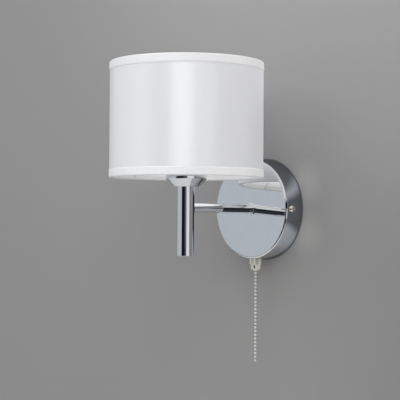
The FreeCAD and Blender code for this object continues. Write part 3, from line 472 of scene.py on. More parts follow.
def finishes() -> dict[str, bpy.types.Material]:
    """Makes every finish of the light.

    Returns:
        A material for each slot of the record, and for each piece with a finish of its own.
    """
    chrome = Plating("chrome", (0.79, 0.805, 0.82), (0.72, 0.735, 0.75), 0.025, 0.015, 0.01, cloud_share=0.3)
    metal = {
        "chrome": chrome,
        "canopy_chrome": replace(chrome, name="canopy_chrome", lean=0.033),
        "cup_chrome": replace(chrome, name="cup_chrome", lean=-0.034),
        "zinc_steel": Plating(
            "zinc_steel", (0.56, 0.57, 0.58), (0.44, 0.46, 0.48), 0.3, 0.18, 0.1, 1800.0, 0.00002, Lay.ACROSS
        ),
        "screw_nickel": Plating(
            "screw_nickel", (0.94, 0.85, 0.74), (0.74, 0.64, 0.53), 0.11, 0.1, 0.06, metal=0.85
        ),
        "pull_nickel": Plating(
            "pull_nickel", (0.95, 0.93, 0.84), (0.80, 0.77, 0.66), 0.32, 0.08, 0.06, 2400.0, 0.00001,
            Lay.UPWARDS, metal=0.8,
        ),
        "outlet_nickel": BoreShadePlating(
            "outlet_nickel", (0.95, 0.94, 0.86), (0.86, 0.84, 0.75), 0.34, 0.08, 0.06, 2400.0, 0.00001,
            metal=0.35,
        ),
        "chain_steel": Plating(
            "chain_steel", (0.92, 0.91, 0.87), (0.80, 0.78, 0.73), 0.2, 0.08, 0.05, metal=0.5
        ),
        # Links darker than the balls: painted shade in the gaps between the balls.
        "link_steel": Plating(
            "link_steel", (0.44, 0.43, 0.40), (0.35, 0.34, 0.32), 0.3, 0.08, 0.05, metal=0.5
        ),
        "contact_brass": Plating("contact_brass", (0.78, 0.58, 0.26), (0.58, 0.41, 0.18), 0.22, 0.16, 0.06),
        "spring_steel": Plating("spring_steel", (0.22, 0.23, 0.25), (0.16, 0.17, 0.20), 0.35, 0.1, 0.06),
    }
    plain = {
        "holder_plastic": Moulding("holder_plastic", (0.78, 0.77, 0.73), (0.73, 0.71, 0.66), 0.42),
        "core_ceramic": Moulding(
            "core_ceramic", (0.76, 0.75, 0.71), (0.70, 0.69, 0.64), 0.25, 0.00001, 900.0, 0.6
        ),
        "block_plastic": Moulding("block_plastic", (0.70, 0.70, 0.64), (0.63, 0.63, 0.57), 0.38),
        "switch_plastic": Moulding("switch_plastic", (0.022, 0.022, 0.024), (0.035, 0.034, 0.034), 0.4),
        "liner_white": Moulding("liner_white", (0.92, 0.92, 0.91), (0.90, 0.90, 0.89), 0.5, 0.00001, 1400.0),
        "white_wire": Moulding("white_wire", (0.79, 0.79, 0.78), (0.72, 0.72, 0.70), 0.36, 0.00003, 1500.0),
        "lead_brown": Moulding("lead_brown", (0.09, 0.030, 0.012), (0.12, 0.042, 0.018), 0.35),
        "lead_blue": Moulding("lead_blue", (0.012, 0.060, 0.26), (0.018, 0.075, 0.30), 0.35),
    }
    made = {slot: finish.make() for slot, finish in (metal | plain).items()}
    made["shade_satin"] = Satin("shade_satin", (0.86, 0.86, 0.87), (0.83, 0.835, 0.85)).make()
    made["shade_tape"] = Tape("shade_tape", (0.81, 0.81, 0.815), (0.77, 0.772, 0.785)).make()
    return made


# ---------------------------------------------------------------- surfaces from grids
def grid_piece(
    name: str,
    grid: np.ndarray,
    round_rows: bool = False,
    round_columns: bool = True,
    cloth: np.ndarray | None = None,
    crease: float = 40.0,
) -> bpy.types.Object:
    """Turns grids of points into one mesh of quads.

    Quad (i, j) joins points (i, j), (i, j + 1), (i + 1, j + 1) and (i + 1, j), and a closed direction
    goes from its last point back to its first.

    Args:
        name: Object name.
        grid: Points, shaped (rows, columns, 3), or (copies, rows, columns, 3) for several islands.
        round_rows: Whether the last row joins the first.
        round_columns: Whether the last column joins the first.
        cloth: Map of a single grid in metres, with one more row or column where that way is closed.
        crease: Angle in degrees past which an edge is kept sharp.

    Returns:
        The object, its doubles merged and its faces turned outwards.
    """
    grids = grid if grid.ndim == 4 else grid[None]
    copies, rows, columns = grids.shape[:3]
    i, j = np.meshgrid(
        np.arange(rows if round_rows else rows - 1),
        np.arange(columns if round_columns else columns - 1),
        indexing="ij",
    )
    ring = [(i, j), (i, j + 1), (i + 1, j + 1), (i + 1, j)]
    corners = np.stack([(a % rows) * columns + b % columns for a, b in ring], -1).reshape(-1, 4)
    quads = (corners[None] + (np.arange(copies) * rows * columns)[:, None, None]).reshape(-1, 4)
    mesh = bpy.data.meshes.new(name)
    mesh.from_pydata(grids.reshape(-1, 3), [], quads)
    if cloth is not None:
        wide = cloth.shape[1]
        index = np.stack([a * wide + b for a, b in ring], -1).reshape(-1)
        layer = mesh.uv_layers.new(name="cloth")
        layer.data.foreach_set("uv", cloth.reshape(-1, 2)[index].astype(np.float32).ravel())
    work = bmesh.new()
    work.from_mesh(mesh)
    bmesh.ops.remove_doubles(work, verts=work.verts, dist=1e-7)
    bmesh.ops.recalc_face_normals(work, faces=work.faces)
    work.to_mesh(mesh)
    work.free()
    mesh.polygons.foreach_set("use_smooth", np.ones(len(mesh.polygons), bool))
    mesh.set_sharp_from_angle(angle=math.radians(crease))
    piece = bpy.data.objects.new(name, mesh)
    bpy.context.scene.collection.objects.link(piece)
    return piece


def eased_line(corners: list[tuple[float, float, float]], steps: int = 8) -> np.ndarray:
    """Line through corners, each rounded by its own radius.

    At a corner the two straights are cut back by radius / tan(half the angle between them), and the arc
    between the cuts is centre + radius * (cos, sin) over the angle that is left.

    Args:
        corners: (u, v, radius) of each corner; the ends keep their place.
        steps: Points on each arc.

    Returns:
        Points, shaped (n, 2).
    """
    points = np.array(corners, float)
    line = [points[:1, :2]]
    for before, here, after in zip(points[:-2], points[1:-1], points[2:]):
        back = (before - here)[:2] / np.linalg.norm((before - here)[:2])
        onward = (after - here)[:2] / np.linalg.norm((after - here)[:2])
        radius = here[2]
        half = math.acos(np.clip(back @ onward, -1, 1)) / 2
        centre = here[:2] + (back + onward) / np.linalg.norm(back + onward) * radius / math.sin(half)
        first = here[:2] + back * radius / math.tan(half) - centre
        last = here[:2] + onward * radius / math.tan(half) - centre
        share = np.linspace(0, 1, steps)[:, None]
        spread = math.pi - 2 * half
        arc = (np.sin((1 - share) * spread) * first + np.sin(share * spread) * last) / math.sin(spread)
        line.append(centre + arc)
    line.append(points[-1:, :2])
    return np.concatenate(line)


def evenly(line: np.ndarray, count: int) -> np.ndarray:
    """The same line again as count points at even steps along it."""
    run = np.concatenate([[0], np.cumsum(np.linalg.norm(np.diff(line, axis=0), axis=1))])
    at = np.linspace(0, run[-1], count)
    return np.stack([np.interp(at, run, line[:, k]) for k in range(line.shape[1])], 1)


def offset_line(line: np.ndarray, distance: float) -> np.ndarray:
    """The line moved to its left by a distance, along the mean normal at each point."""
    run = np.gradient(line, axis=0)
    normal = np.stack([-run[:, 1], run[:, 0]], 1)
    return line + distance * normal / np.linalg.norm(normal, axis=1, keepdims=True)


def turned_grid(
    radius: np.ndarray, height: np.ndarray, angle: np.ndarray, axis: tuple[float, float]
) -> np.ndarray:
    """Points round an upright axis.

    A point is (axis x + radius cos angle, axis y + radius sin angle, height).

    Args:
        radius: Radii, broadcast against the angles.
        height: Heights, broadcast against the angles.
        angle: Angles round the axis, in radians.
        axis: (x, y) of the axis.

    Returns:
        Points with a last axis of three.
    """
    radius, height, angle = np.broadcast_arrays(radius, height, angle)
    return np.stack([axis[0] + radius * np.cos(angle), axis[1] + radius * np.sin(angle), height], -1)


def arc_gap(angle: np.ndarray, centre: float) -> np.ndarray:
    """How far each angle is from a centre, the short way round, in radians from -pi to pi."""
    return (angle - centre + math.pi) % TURN - math.pi


def step_up(value: np.ndarray, low: float, high: float) -> np.ndarray:
    """Smooth step from 0 at low to 1 at high: t * t * (3 - 2 t)."""
    t = np.clip((value - low) / (high - low), 0, 1)
    return t * t * (3 - 2 * t)


# ---------------------------------------------------------------- sub-assemblies
@dataclass
class SubAssembly:
    """Pieces that belong together: the solids that are kept, and new pieces over the others."""

    paints: dict[str, bpy.types.Material]

    def keep(self, *nodes: str, paint: str = "") -> None:
        """Gives carried-over solids the finish of their slot, or another one.

        Args:
            *nodes: Names of the solids.
            paint: Name of the other finish.
        """
        for name in nodes:
            finish = paint or SLOT_OF[name]
            for place in frame["nodes"][name].material_slots:
                place.material = self.paints[finish]
            log.info("%s keeps its solid, finish %s", name, finish)

    def add(self, piece: bpy.types.Object, slot: str, body: Body, *stands_for: str) -> bpy.types.Object:
        """Finishes a new piece and puts it on its body.

        Args:
            piece: The new piece, in place.
            slot: The record's material slot.
            body: Body that it rides on.
            *stands_for: Solids that it replaces.

        Returns:
            The piece.
        """
        piece.data.materials.clear()
        piece.data.materials.append(self.paints[slot])
        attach(piece, body.value)
        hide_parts(*stands_for)
        faces = len(piece.data.polygons) if piece.type == "MESH" else 0
        log.info("%s: %d faces, finish %s, on %s, for %s", piece.name, faces, slot, body.value, stands_for)
        return piece


@dataclass
class Canopy(SubAssembly):
    """Wall cup with its bracket, screws and terminal block."""

    def dress(self) -> None:
        """Keeps the pressed cup and what is in it."""
        self.keep("canopy_cover", paint="canopy_chrome")
        self.keep("canopy_screws", "wall_bracket", "earth_screw", "earth_washer")
        self.keep("terminal_block", "terminal_screws", "lead_live", "lead_neutral")


@dataclass
class ArmAndStem(SubAssembly):
    """Chrome tubes, collar, end cap and cup, with their threaded rods and nuts."""

    def dress(self) -> None:
        """Keeps the turned and drawn metal."""
        self.keep("arm_tube", "arm_collar", "arm_rod", "arm_washer", "arm_lock_nut")
        self.keep("stem_tube", "stem_end_cap", "stem_bush", "stem_rod", "cup_nut")
        self.keep("holder_cup", paint="cup_chrome")


@dataclass
class Lampholder(SubAssembly):
    """Moulded lampholder with a threaded sleeve, a rolled screw shell and two shade rings."""

    sleeve_radius: float = 0.014
    sleeve_bore: float = 0.012
    skirt_bore: float = 0.01305
    sleeve_low: float = 0.034
    sleeve_high: float = 0.072
    skirt_high: float = 0.046
    thread_pitch: float = 0.002
    thread_depth: float = 0.00045
    shell_radius: float = 0.00745
    shell_bore: float = 0.00705
    shell_low: float = 0.053
    shell_high: float = 0.066
    shell_pitch: float = 0.00282

    def sleeve(self) -> bpy.types.Object:
        """Builds the sleeve.

        The outline is bore, mouth, outside and skirt. Outside, between the plain lead-ins, the radius
        drops by depth * (1 - cos(turn * height / pitch - angle)) / 2, which is a one-start thread.

        Returns:
            The sleeve.
        """
        outside = np.linspace(self.sleeve_high - 0.0008, self.sleeve_low, 190)
        mouth = eased_line(
            [
                (self.sleeve_bore, self.skirt_high, 0),
                (self.sleeve_bore, self.sleeve_high, 0.0006),
                (self.sleeve_radius, self.sleeve_high, 0.0008),
                (self.sleeve_radius, self.sleeve_high - 0.00081, 0),
            ],
            7,
        )
        wall = np.stack([np.full_like(outside, self.sleeve_radius), outside], 1)
        skirt = np.array([[self.skirt_bore, self.sleeve_low], [self.skirt_bore, self.skirt_high]])
        line = np.concatenate([mouth, wall, skirt])
        angle = np.linspace(0, TURN, 96, endpoint=False)[None]
        radius, height = line[:, :1], line[:, 1:]
        threaded = step_up(height, self.sleeve_low + 0.002, self.sleeve_low + 0.003)
        threaded = threaded * (1 - step_up(height, self.sleeve_high - 0.003, self.sleeve_high - 0.002))
        outer = (radius > self.sleeve_radius - 1e-6) * threaded
        groove = self.thread_depth * (1 - np.cos(TURN * height / self.thread_pitch - angle)) / 2
        grid = turned_grid(radius - outer * groove, height, angle, STEM_AXIS)
        return grid_piece("holder_sleeve", grid, round_rows=True)

    def shell(self) -> bpy.types.Object:
        """Builds the screw shell.

        Both faces of the thin wall follow a rounded thread: the middle radius is mean + depth *
        cos(turn * height / pitch - angle), and the faces lie half the wall inside and outside of it.

        Returns:
            The shell.
        """
        height = np.linspace(self.shell_low, self.shell_high, 70)[:, None]
        angle = np.linspace(0, TURN, 72, endpoint=False)[None]
        wall = 0.00022
        room = (self.shell_radius - self.shell_bore - wall) / 2
        middle = (self.shell_radius + self.shell_bore) / 2
        wave = middle + room * np.cos(TURN * height / self.shell_pitch - angle)
        radius = np.concatenate([wave + wall / 2, (wave - wall / 2)[::-1]])
        grid = turned_grid(radius, np.concatenate([height, height[::-1]]), angle, STEM_AXIS)
        return grid_piece("screw_shell", grid, round_rows=True)

    def dress(self) -> None:
        """Adds the threads and keeps the rest of the lampholder."""
        self.add(self.sleeve(), "holder_plastic", Body.FIXTURE, "lampholder_sleeve")
        self.add(self.shell(), "contact_brass", Body.FIXTURE, "socket_shell")
        self.keep("lampholder_base", "lampholder_core", "centre_contact")
        self.keep("shade_ring_lower", "shade_ring_upper")


@dataclass
class DrumShade(SubAssembly):
    """Drum of satin on a stiff liner, bound with tape round two wire rings."""

    radius: float = 0.074
    low: float = 0.0285
    high: float = 0.1385
    tape: float = 0.0004
    tape_height: float = 0.008
    tape_inner_height: float = 0.0045
    tape_bore: float = 0.06985
    cloth_radius: float = 0.07353
    cloth_bore: float = 0.07318
    seam_angle: float = math.radians(97.0)
    seam_width: float = 0.009
    spoke_angle: float = math.radians(185.0)
    spoke_count: int = 3
    columns: int = 720

    def angles(self, closed: bool = False) -> np.ndarray:
        """Even steps of angle round the drum, starting at the seam, as one row."""
        count = self.columns + 1 if closed else self.columns
        return (self.seam_angle + np.linspace(0, TURN, count, endpoint=closed))[None]

    def cloth(self) -> bpy.types.Object:
        """Builds the satin.

        The outer radius is the drum's, plus a few hundredths of a millimetre of long upright waves that
        fade towards the taped edges, plus one thickness over the lapped seam. The inner face is plain.

        Returns:
            The cloth, a closed thin wall.
        """
        edge = self.tape + 0.00008
        height = np.linspace(self.low + edge, self.high - edge, 56)[:, None]
        angle = self.angles()
        free = step_up(height, self.low + self.tape_height, self.low + 0.016)
        free = free * (1 - step_up(height, self.high - 0.016, self.high - self.tape_height))
        waves = 0.00004 * np.sin(7 * angle + 1.3 + 9 * height) + 0.00003 * np.sin(17 * angle + 0.4)
        reach = arc_gap(angle, self.seam_angle) * self.radius
        lap = step_up(reach, -self.seam_width, -self.seam_width + 0.0006) * (reach < 0.0)
        outer = self.cloth_radius + free * (waves + 0.0003 * lap)
        inner = np.full_like(outer, self.cloth_bore)
        grid = turned_grid(
            np.concatenate([outer, inner[::-1]]), np.concatenate([height, height[::-1]]), angle, STEM_AXIS
        )
        around = (self.angles(closed=True) - self.seam_angle) * self.radius
        rows = np.concatenate([height, height[::-1], height[:1]])
        cloth = np.stack(np.broadcast_arrays(around, rows), -1)
        return grid_piece("shade_cloth", grid, round_rows=True, cloth=cloth)

    def binding(self, name: str, edge: float, inward: float) -> bpy.types.Object:
        """Builds the tape round one edge.

        The tape's middle line goes down the outside, round the wire ring and up the inside; its two
        faces lie half a thickness to either side. The outer leg's end wanders by a tenth of a
        millimetre, and at each spoke the inner leg is drawn down to let the wire through.

        Args:
            name: Object name.
            edge: Height of the shade's edge.
            inward: 1 where the shade lies above that edge, -1 where it lies below.

        Returns:
            The tape, a closed thin strip.
        """
        half = self.tape / 2
        outer, inner = self.radius - half, self.tape_bore + half
        middle = eased_line(
            [
                (outer, self.tape_height, 0),
                (outer, half, 0.0008),
                (inner, half, 0.0012),
                (inner, self.tape_inner_height, 0),
            ],
            8,
        )
        middle = evenly(middle, 44)
        outside, inside = offset_line(middle, -half), offset_line(middle, half)
        tip_in = middle[-1] + half * np.array([[0.7, 0.7], [0, 1.0], [-0.7, 0.7]]) * [-1, 1]
        tip_out = middle[0] + half * np.array([[-0.7, 0.7], [0, 1.0], [0.7, 0.7]])
        line = np.concatenate([outside, tip_in, inside[::-1], tip_out])
        angle = self.angles()
        radius, height = line[:, :1], line[:, 1:]
        wander = 0.6 * np.sin(23 * angle + 0.7) + 0.4 * np.sin(61 * angle + 2.0)
        leg = step_up(height, 0.004, self.tape_height) * (radius > (outer + inner) / 2)
        thin = step_up(height, self.tape_height - 0.0012, self.tape_height) * (radius > outer)
        radius = radius - 0.00026 * thin
        height = height + 0.0001 * leg * wander
        if inward > 0:
            gaps = [
                np.abs(arc_gap(angle, self.spoke_angle + TURN * k / self.spoke_count)) * self.tape_bore
                for k in range(self.spoke_count)
            ]
            notch = 1 - step_up(np.minimum.reduce(gaps), 0.0011, 0.0020)
            drawn = (radius < (outer + inner) / 2) * notch
            height = height * (1 - drawn * 0.62 * step_up(height, 0.0006, 0.003))
        grid = turned_grid(radius, edge + inward * height, angle, STEM_AXIS)
        run = np.concatenate([[0], np.cumsum(np.linalg.norm(np.diff(line, axis=0, append=line[:1]), axis=1))])
        around = (self.angles(closed=True) - self.seam_angle) * self.radius
        cloth = np.stack(np.broadcast_arrays(around, run[:, None]), -1)
        return grid_piece(name, grid, round_rows=True, cloth=cloth, crease=60.0)

    def dress(self) -> None:
        """Adds cloth and bindings, and keeps liner, rings and spokes.

        The sheen lamp and the rear lamp light only the drum, and only the drum shades the rear lamp.
        """
        cloth = self.add(self.cloth(), "shade_satin", Body.FIXTURE, "shade_fabric")
        bottom = self.binding("bottom_binding", self.low, 1.0)
        top = self.binding("top_binding", self.high, -1.0)
        self.add(bottom, "shade_tape", Body.FIXTURE, "shade_bottom_hem")
        self.add(top, "shade_tape", Body.FIXTURE, "shade_top_hem")
        self.keep("shade_liner", "shade_spider", "shade_top_ring")
        drum = bpy.data.collections.new("satin_drum")
        for piece in (cloth, bottom, top):
            drum.objects.link(piece)
        for lamp in ("sheen_lamp", "rear_lamp"):
            bpy.data.objects[lamp].light_linking.receiver_collection = drum
        bpy.data.objects["rear_lamp"].light_linking.blocker_collection = drum


@dataclass
class PullSwitch(SubAssembly):
    """Switch in the canopy, its threaded outlet, and the ball chain."""

    ball: float = 0.00125
    link: float = 0.0003
    pitch: float = 0.00367
    swivel: float = -0.0644
    hanging: int = 24
    mouth: float = -0.062

    def beads(self, name: str, tops: np.ndarray, closed_last: bool) -> bpy.types.Object:
        """Builds hollow rolled balls along the chain.

        A ball's radius is the nominal one less a narrow groove along its seam, and less a dimple round
        each hole that goes as exp(-(polar angle / 0.3) squared).

        Args:
            name: Object name.
            tops: Heights of the balls' centres.
            closed_last: Whether the last ball has no hole below.

        Returns:
            The balls, one island each.
        """
        polar = np.linspace(0, math.pi, 17)[:, None]
        angle = np.linspace(0, TURN, 28, endpoint=False)[None]
        seam = 0.025 * np.exp(-((arc_gap(angle, 0.6) / 0.12) ** 2)) * np.sin(polar) ** 0.5
        above = 0.10 * np.exp(-((polar / 0.3) ** 2))
        below = 0.10 * np.exp(-(((math.pi - polar) / 0.3) ** 2))
        index = np.arange(len(tops))[:, None, None]
        open_below = np.where((index == len(tops) - 1) & closed_last, 0.0, 1.0)
        radius = self.ball * (1 - seam - above - below * open_below)
        height = tops[:, None, None] + radius * np.cos(polar)
        grid = turned_grid(radius * np.sin(polar), height, angle + 1.1 * index, SWITCH_AXIS)
        return grid_piece(name, grid, crease=75.0)

    def core(self, top: float, bottom: float) -> bpy.types.Object:
        """Builds the line of links inside the balls.

        Args:
            top: Height of its upper end.
            bottom: Height of its lower end.

        Returns:
            A curve as thick as the links.
        """
        curve = bpy.data.curves.new("chain_links", "CURVE")
        curve.dimensions = "3D"
        curve.bevel_depth = self.link
        curve.bevel_resolution = 3
        curve.use_fill_caps = True
        curve.resolution_u = 6
        line = curve.splines.new("NURBS")
        heights = np.linspace(top, bottom, 5)
        line.points.add(len(heights) - 1)
        points = np.stack([np.full(5, SWITCH_AXIS[0]), np.full(5, SWITCH_AXIS[1]), heights, np.ones(5)], 1)
        line.points.foreach_set("co", points.astype(np.float32).ravel())
        line.order_u = 3
        line.use_endpoint_u = True
        piece = bpy.data.objects.new("chain_links", curve)
        bpy.context.scene.collection.objects.link(piece)
        return piece

    def dress(self) -> None:
        """Adds the balls and links of the hanging chain, and keeps the switch."""
        tops = self.swivel - self.pitch * np.arange(1, self.hanging + 1)
        top, bottom = self.swivel - 0.0013, tops[-1]
        links = self.add(self.core(top, bottom), "chain_steel", Body.CHAIN, "pull_chain")
        # The links take the darker steel, painted shade in the gaps between the balls.
        links.data.materials[0] = self.paints["link_steel"]
        beads = self.add(self.beads("chain_balls", tops, True), "chain_steel", Body.CHAIN, "pull_chain")
        ball = self.beads("swivel_ball", np.array([self.swivel]), False)
        self.add(ball, "chain_steel", Body.SWIVEL, "chain_swivel_ball")
        self.keep("switch_outlet", paint="outlet_nickel")
        self.keep("pull_chain_upper", "switch_barrel", "switch_inner_nut", "switch_collar")
        self.keep("switch_housing", "switch_lid", "chain_drum", "drum_balls", "drum_pin", "drum_spring")
        self.keep("switch_contacts")


# ---------------------------------------------------------------- studio
@dataclass
class Studio:
    """Wall, floor, lamps, surroundings and camera."""

    camera_place: tuple[float, float, float] = (0.844226, -0.871043, -0.016097)
    azimuth: float = 47.2574
    pitch: float = 1.189
    roll: float = 0.3233
    focal_pixels: float = 1189.466
    picture_pixels: float = 400.0
    sensor: float = 36.0
    aim: tuple[float, float, float] = (0.0, -0.07, 0.03)
    floor_height: float = -0.45

    def directions(self) -> tuple[np.ndarray, np.ndarray, np.ndarray]:
        """Works out the camera's level axes.

        Returns:
            Forward, right and up, before the roll.
        """
        a, p = math.radians(self.azimuth), math.radians(self.pitch)
        forward = np.array([-math.sin(a) * math.cos(p), math.cos(a) * math.cos(p), math.sin(p)])
        right = np.array([math.cos(a), math.sin(a), 0.0])
        return forward, right, np.cross(right, forward)

    def camera(self) -> None:
        """Puts the camera where the photograph was taken from."""
        forward, right, up = self.directions()
        r = math.radians(self.roll)
        across = right * math.cos(r) + up * math.sin(r)
        upward = -right * math.sin(r) + up * math.cos(r)
        lens = bpy.data.cameras.new("camera")
        lens.sensor_width = self.sensor
        lens.lens = self.focal_pixels / self.picture_pixels * self.sensor
        lens.clip_start, lens.clip_end = 0.01, 50.0
        camera = bpy.data.objects.new("camera", lens)
        matrix = np.eye(4)
        matrix[:3, :3] = np.stack([across, upward, -forward], 1)
        matrix[:3, 3] = self.camera_place
        camera.matrix_world = Matrix(matrix.tolist())
        bpy.context.scene.collection.objects.link(camera)
        bpy.context.scene.camera = camera

    def lamp(
        self, name: str, bearing: float, rise: float, away: float, size: tuple[float, float], level: float,
        tint: Colour = (1.0, 1.0, 1.0), mirrored: bool = False,
    ) -> None:
        """Adds a soft rectangular lamp that faces the light.

        A level of 1 lights a surface that faces the lamp just enough to show its colour as written: the
        power for that is pi squared times the distance squared.

        Args:
            name: Object name.
            bearing: Degrees from the camera's side of the light, to the picture's right.
            rise: Degrees above the horizon.
            away: Distance in metres.
            size: Width and height in metres.
            level: Share of full light on a surface that faces the lamp.
            tint: Colour of the light.
            mirrored: Whether it shows in glossy surfaces.
        """
        forward, right, _ = self.directions()
        flat = -forward * [1, 1, 0] / np.linalg.norm(forward[:2])
        b, e = math.radians(bearing), math.radians(rise)
        way = (flat * math.cos(b) + right * math.sin(b)) * math.cos(e) + np.array([0, 0, math.sin(e)])
        data = bpy.data.lights.new(name, "AREA")
        data.shape = "RECTANGLE"
        data.size, data.size_y = size
        data.energy = level * (math.pi * away) ** 2
        data.color = tint
        lamp = bpy.data.objects.new(name, data)
        lamp.location = Vector(self.aim) + Vector(way.tolist()) * away
        lamp.rotation_euler = Vector((-way).tolist()).to_track_quat("-Z", "Y").to_euler()
        lamp.visible_glossy = mirrored
        bpy.context.scene.collection.objects.link(lamp)

    def shade_fill(self, name: str, height: float, turn: float, radiance: float) -> None:
        """Adds the room light that enters an end of the drum, as a lamp across that opening.

        Args:
            name: Object name.
            height: Height of the opening.
            turn: 0 where the light goes down, pi where it goes up.
            radiance: Brightness of the opening.
        """
        data = bpy.data.lights.new(name, "AREA")
        data.shape = "DISK"
        data.size = 0.13
        data.energy = radiance * (math.pi * data.size / 2) ** 2
        lamp = bpy.data.objects.new(name, data)
        lamp.location = (*STEM_AXIS, height)
        lamp.rotation_euler = (turn, 0, 0)
        lamp.visible_glossy = lamp.visible_camera = False
        bpy.context.scene.collection.objects.link(lamp)

    def wall_paint(self, board: Board, colour: Colour) -> Signal:
        """Paint of the wall.

        It grows a little lighter with height, save at its far left, as painted light, and darker to the lower
        right, as painted shade. It has two faint glows where the canopy's side throws light on it, and a
        painted contact shadow, a dark line, along the canopy's rim. In mirrors only it shows painted
        reflections: its far end is dark, a patch above the canopy is dark as painted shade, and beside the
        canopy it is pale as painted light but for a strip of painted shadow between the glows.

        Args:
            board: The wall's board.
            colour: Its middle colour.

        Returns:
            The colour.
        """
        place = board.place()
        x, z = board.part(place, "X"), board.part(place, "Z")
        mirrored = board.read("ShaderNodeLightPath", output="Is Glossy Ray")
        noise_tone_and_painted_light = {share: tuple(c * share for c in colour) for share in (0.97, 0.84, 1.22, 1.5, 0.35)}
        paint = board.blend(board.noise(place, 3.0, 4.0), colour, noise_tone_and_painted_light[0.97])
        # Painted light: lighter towards the top, save at the far left.
        paint = board.blend(z.between(0.03, 0.30) * x.between(-0.40, -0.05), paint, noise_tone_and_painted_light[1.22])
        # Painted shade: darker to the lower right.
        paint = board.blend(x.between(0.02, 0.20) * (1 - z.between(-0.05, 0.08)), paint, noise_tone_and_painted_light[0.84])
        for height in (0.025, -0.023):
            reach = ((x - 0.053) ** 2.0 + (z - height) ** 2.0) ** 0.5
            paint = board.blend((1 - reach.between(0.0, 0.030)) * 0.5, paint, noise_tone_and_painted_light[1.5])
        # Painted contact shadow: a dark line on the wall along the canopy's rim.
        rim = ((x ** 2.0 + z ** 2.0) ** 0.5 - 0.0502).size()
        paint = board.blend((1 - rim.between(0.0007, 0.0016)) * 0.9, paint, noise_tone_and_painted_light[0.35])
        # Painted reflections, seen in mirrors only: pale painted light beside the canopy, a strip of painted
        # shadow between the glows, and painted shade above the canopy.
        beside = mirrored * x.between(0.020, 0.040) * (1 - x.between(0.085, 0.10))
        paint = board.blend(beside * 0.7, paint, (0.50, 0.52, 0.57))
        strip = z.between(-0.032, -0.018) * (1 - z.between(0.012, 0.026)) * x.between(0.030, 0.052)
        paint = board.blend(beside * strip, paint, (0.13, 0.133, 0.145))
        above = mirrored * z.between(0.024, 0.040) * (1 - z.between(0.09, 0.12)) * x.between(-0.02, 0.0)
        paint = board.blend(above * 0.85, paint, (0.09, 0.092, 0.10))
        # Painted dark reflection, seen in mirrors only: the wall's far end.
        return board.blend(mirrored * x.between(0.4, 0.9) * 0.8, paint, (0.05, 0.05, 0.055))

    def floor_paint(self, board: Board, colour: Colour) -> Signal:
        """Paint of the floor, with painted dark reflections that only mirrors show."""
        place = board.place()
        x, y = board.part(place, "X"), board.part(place, "Y")
        mirrored = board.read("ShaderNodeLightPath", output="Is Glossy Ray")
        # Painted dark reflection, seen in mirrors only: a dark band across the floor in front of the light,
        # and the dark far floor.
        mirrored_dark_band = (1 - y.between(-0.5, -0.3)) * (x - y * 0.25).between(-0.04, 0.04)
        paint = board.blend(board.noise(place, 3.0, 4.0), colour, tuple(c * 0.97 for c in colour))
        distant = ((x ** 2.0 + y ** 2.0) ** 0.5).between(0.85, 1.15)
        return board.blend(mirrored * mirrored_dark_band.larger(distant * 0.9), paint, (0.03, 0.035, 0.045))

    def backdrop(self, name: str, corners: np.ndarray, colour: Colour, upright: bool) -> None:
        """Adds a flat stage surface that is seen from its front only.

        Args:
            name: Object name.
            corners: Two rows of two points.
            colour: Its paint.
            upright: Whether it is the wall, which lets the light of lamps behind it through, and is open
                behind the canopy so that light reaches what is in there.
        """
        mesh = bpy.data.meshes.new(name)
        mesh.from_pydata(corners.reshape(-1, 3), [], [[0, 1, 3, 2]])
        piece = bpy.data.objects.new(name, mesh)
        bpy.context.scene.collection.objects.link(piece)
        material, board = fresh_material(name)
        paint = self.wall_paint(board, colour) if upright else self.floor_paint(board, colour)
        looks = {"Base Color": paint, "Roughness": 0.85, "Specular IOR Level": 0.1}
        matt = board.node("ShaderNodeBsdfPrincipled", None, looks)
        clear = board.node("ShaderNodeBsdfTransparent")
        unseen = board.read("ShaderNodeNewGeometry", output="Backfacing")
        if upright:
            place = board.place()
            reach = (board.part(place, "X") ** 2.0 + board.part(place, "Z") ** 2.0) ** 0.5
            unseen = unseen.larger(board.read("ShaderNodeLightPath", output="Is Shadow Ray"))
            unseen = unseen.larger(1 - reach.between(0.0484, 0.0486))
        mixed = board.node("ShaderNodeMixShader", None, {0: unseen, 1: matt.outputs[0], 2: clear.outputs[0]})
        board.node("ShaderNodeOutputMaterial", None, {"Surface": mixed.outputs[0]})
        mesh.materials.append(material)

    def surroundings(self) -> None:
        """Lights the room evenly, and gives mirrors soft upright bands of light and dark to show."""
        world = bpy.data.worlds.new("room")
        bpy.context.scene.world = world
        board = Board(world)
        way = board.read("ShaderNodeTexCoord", output="Generated")
        forward, right, _ = self.directions()
        flat = -forward * [1, 1, 0] / np.linalg.norm(forward[:2])
        across = board.along(way, tuple(right.tolist()))
        ahead = board.along(way, tuple(flat.tolist()))
        height = board.part(way, "Z")
        around = across.bearing(ahead) / TURN + 0.5
        window, dark = (0.51, 0.545, 0.59), (0.008, 0.009, 0.014)
        middle, card = (0.14, 0.14, 0.15), (0.80, 0.81, 0.83)
        bands = [
            (0.0, (0.45, 0.45, 0.46)),
            (0.05, (0.15, 0.15, 0.16)),
            (0.10, (0.40, 0.43, 0.46)),
            (0.13, window),
            (0.335, window),
            (0.352, dark),
            (0.456, dark),
            (0.468, middle),
            (0.513, middle),
            (0.528, card),
            (0.616, card),
            (0.66, (0.40, 0.40, 0.41)),
            (0.74, (0.10, 0.10, 0.11)),
            (0.80, (0.12, 0.12, 0.13)),
            (0.85, (0.75, 0.76, 0.78)),
            (0.95, (0.75, 0.76, 0.78)),
            (1.0, (0.45, 0.45, 0.46)),
        ]
        room = Signal(board, board.node("ShaderNodeValToRGB", {"stops": bands}, {0: around}).outputs[0])
        low = (-height).between(0.0, 0.06) * around.between(0.335, 0.352) * (1 - around.between(0.500, 0.515))
        room = board.blend(low, room, dark)
        front = ahead.between(0.3, 0.7)
        room = board.blend(height.between(0.05, 0.09) * front, room, dark)
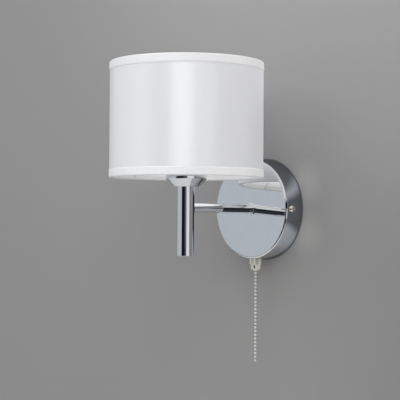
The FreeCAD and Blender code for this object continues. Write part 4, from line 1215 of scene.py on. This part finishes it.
        room = board.blend(height.between(0.26, 0.36) * front, room, (0.60, 0.63, 0.67))
        room = board.blend(height.between(0.35, 0.8), room, (0.85, 0.87, 0.90))
        path = board.node("ShaderNodeLightPath")
        seen, mirrored = (Signal(board, path.outputs[f"Is {kind} Ray"]) for kind in ("Camera", "Glossy"))
        plain = board.blend(seen, (0.50, 0.505, 0.515), (0.62, 0.62, 0.61))
        colour = board.blend(mirrored, plain, room)
        light = board.node("ShaderNodeBackground", None, {"Color": colour, "Strength": 1.0})
        board.node("ShaderNodeOutputWorld", None, {"Surface": light.outputs[0]})

    def build(self) -> None:
        """Puts up the whole studio."""
        half, back, low = 1.6, 0.0004, self.floor_height
        wall = np.array([[[-half, back, low], [half, back, low]], [[-half, back, 1.4], [half, back, 1.4]]])
        floor = np.array([[[-half, back, low], [-half, -2.6, low]], [[half, back, low], [half, -2.6, low]]])
        self.backdrop("stage_wall", wall, (0.325, 0.32, 0.317), True)
        self.backdrop("stage_floor", floor, (0.80, 0.79, 0.78), False)
        self.lamp("key_lamp", -3.0, 32.0, 1.7, (0.9, 0.9), 0.235)
        self.lamp("sheen_lamp", -7.0, 10.0, 1.7, (0.85, 0.55), 0.16, mirrored=True)
        self.lamp("window_lamp", -68.0, 35.0, 1.8, (1.2, 1.2), 0.22, (0.95, 0.98, 1.0))
        self.lamp("top_lamp", -20.0, 78.0, 1.6, (1.2, 1.2), 0.36)
        self.lamp("wall_bounce_lamp", 100.0, 5.0, 1.6, (1.2, 1.2), 0.52, (1.0, 0.99, 0.98))
        self.lamp("rear_lamp", 165.0, 20.0, 1.6, (1.2, 1.2), 0.7)
        self.shade_fill("shade_top_fill", 0.1375, 0.0, 0.6)
        self.shade_fill("shade_bottom_fill", 0.0335, math.pi, 0.85)
        self.surroundings()
        self.camera()
        view = bpy.context.scene.view_settings
        view.view_transform = "Standard"


SLOT_OF = {part["node"]: part["material_slot"] for part in frame["record"]["subparts"]}


def main() -> None:
    """Builds the studio and every sub-assembly."""
    logging.basicConfig(level=logging.INFO, format="%(name)s: %(message)s")
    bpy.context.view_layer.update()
    Studio().build()
    paints = finishes()
    for kind in (Canopy, ArmAndStem, Lampholder, DrumShade, PullSwitch):
        kind(paints).dress()


if __name__ == "__main__":
    main()
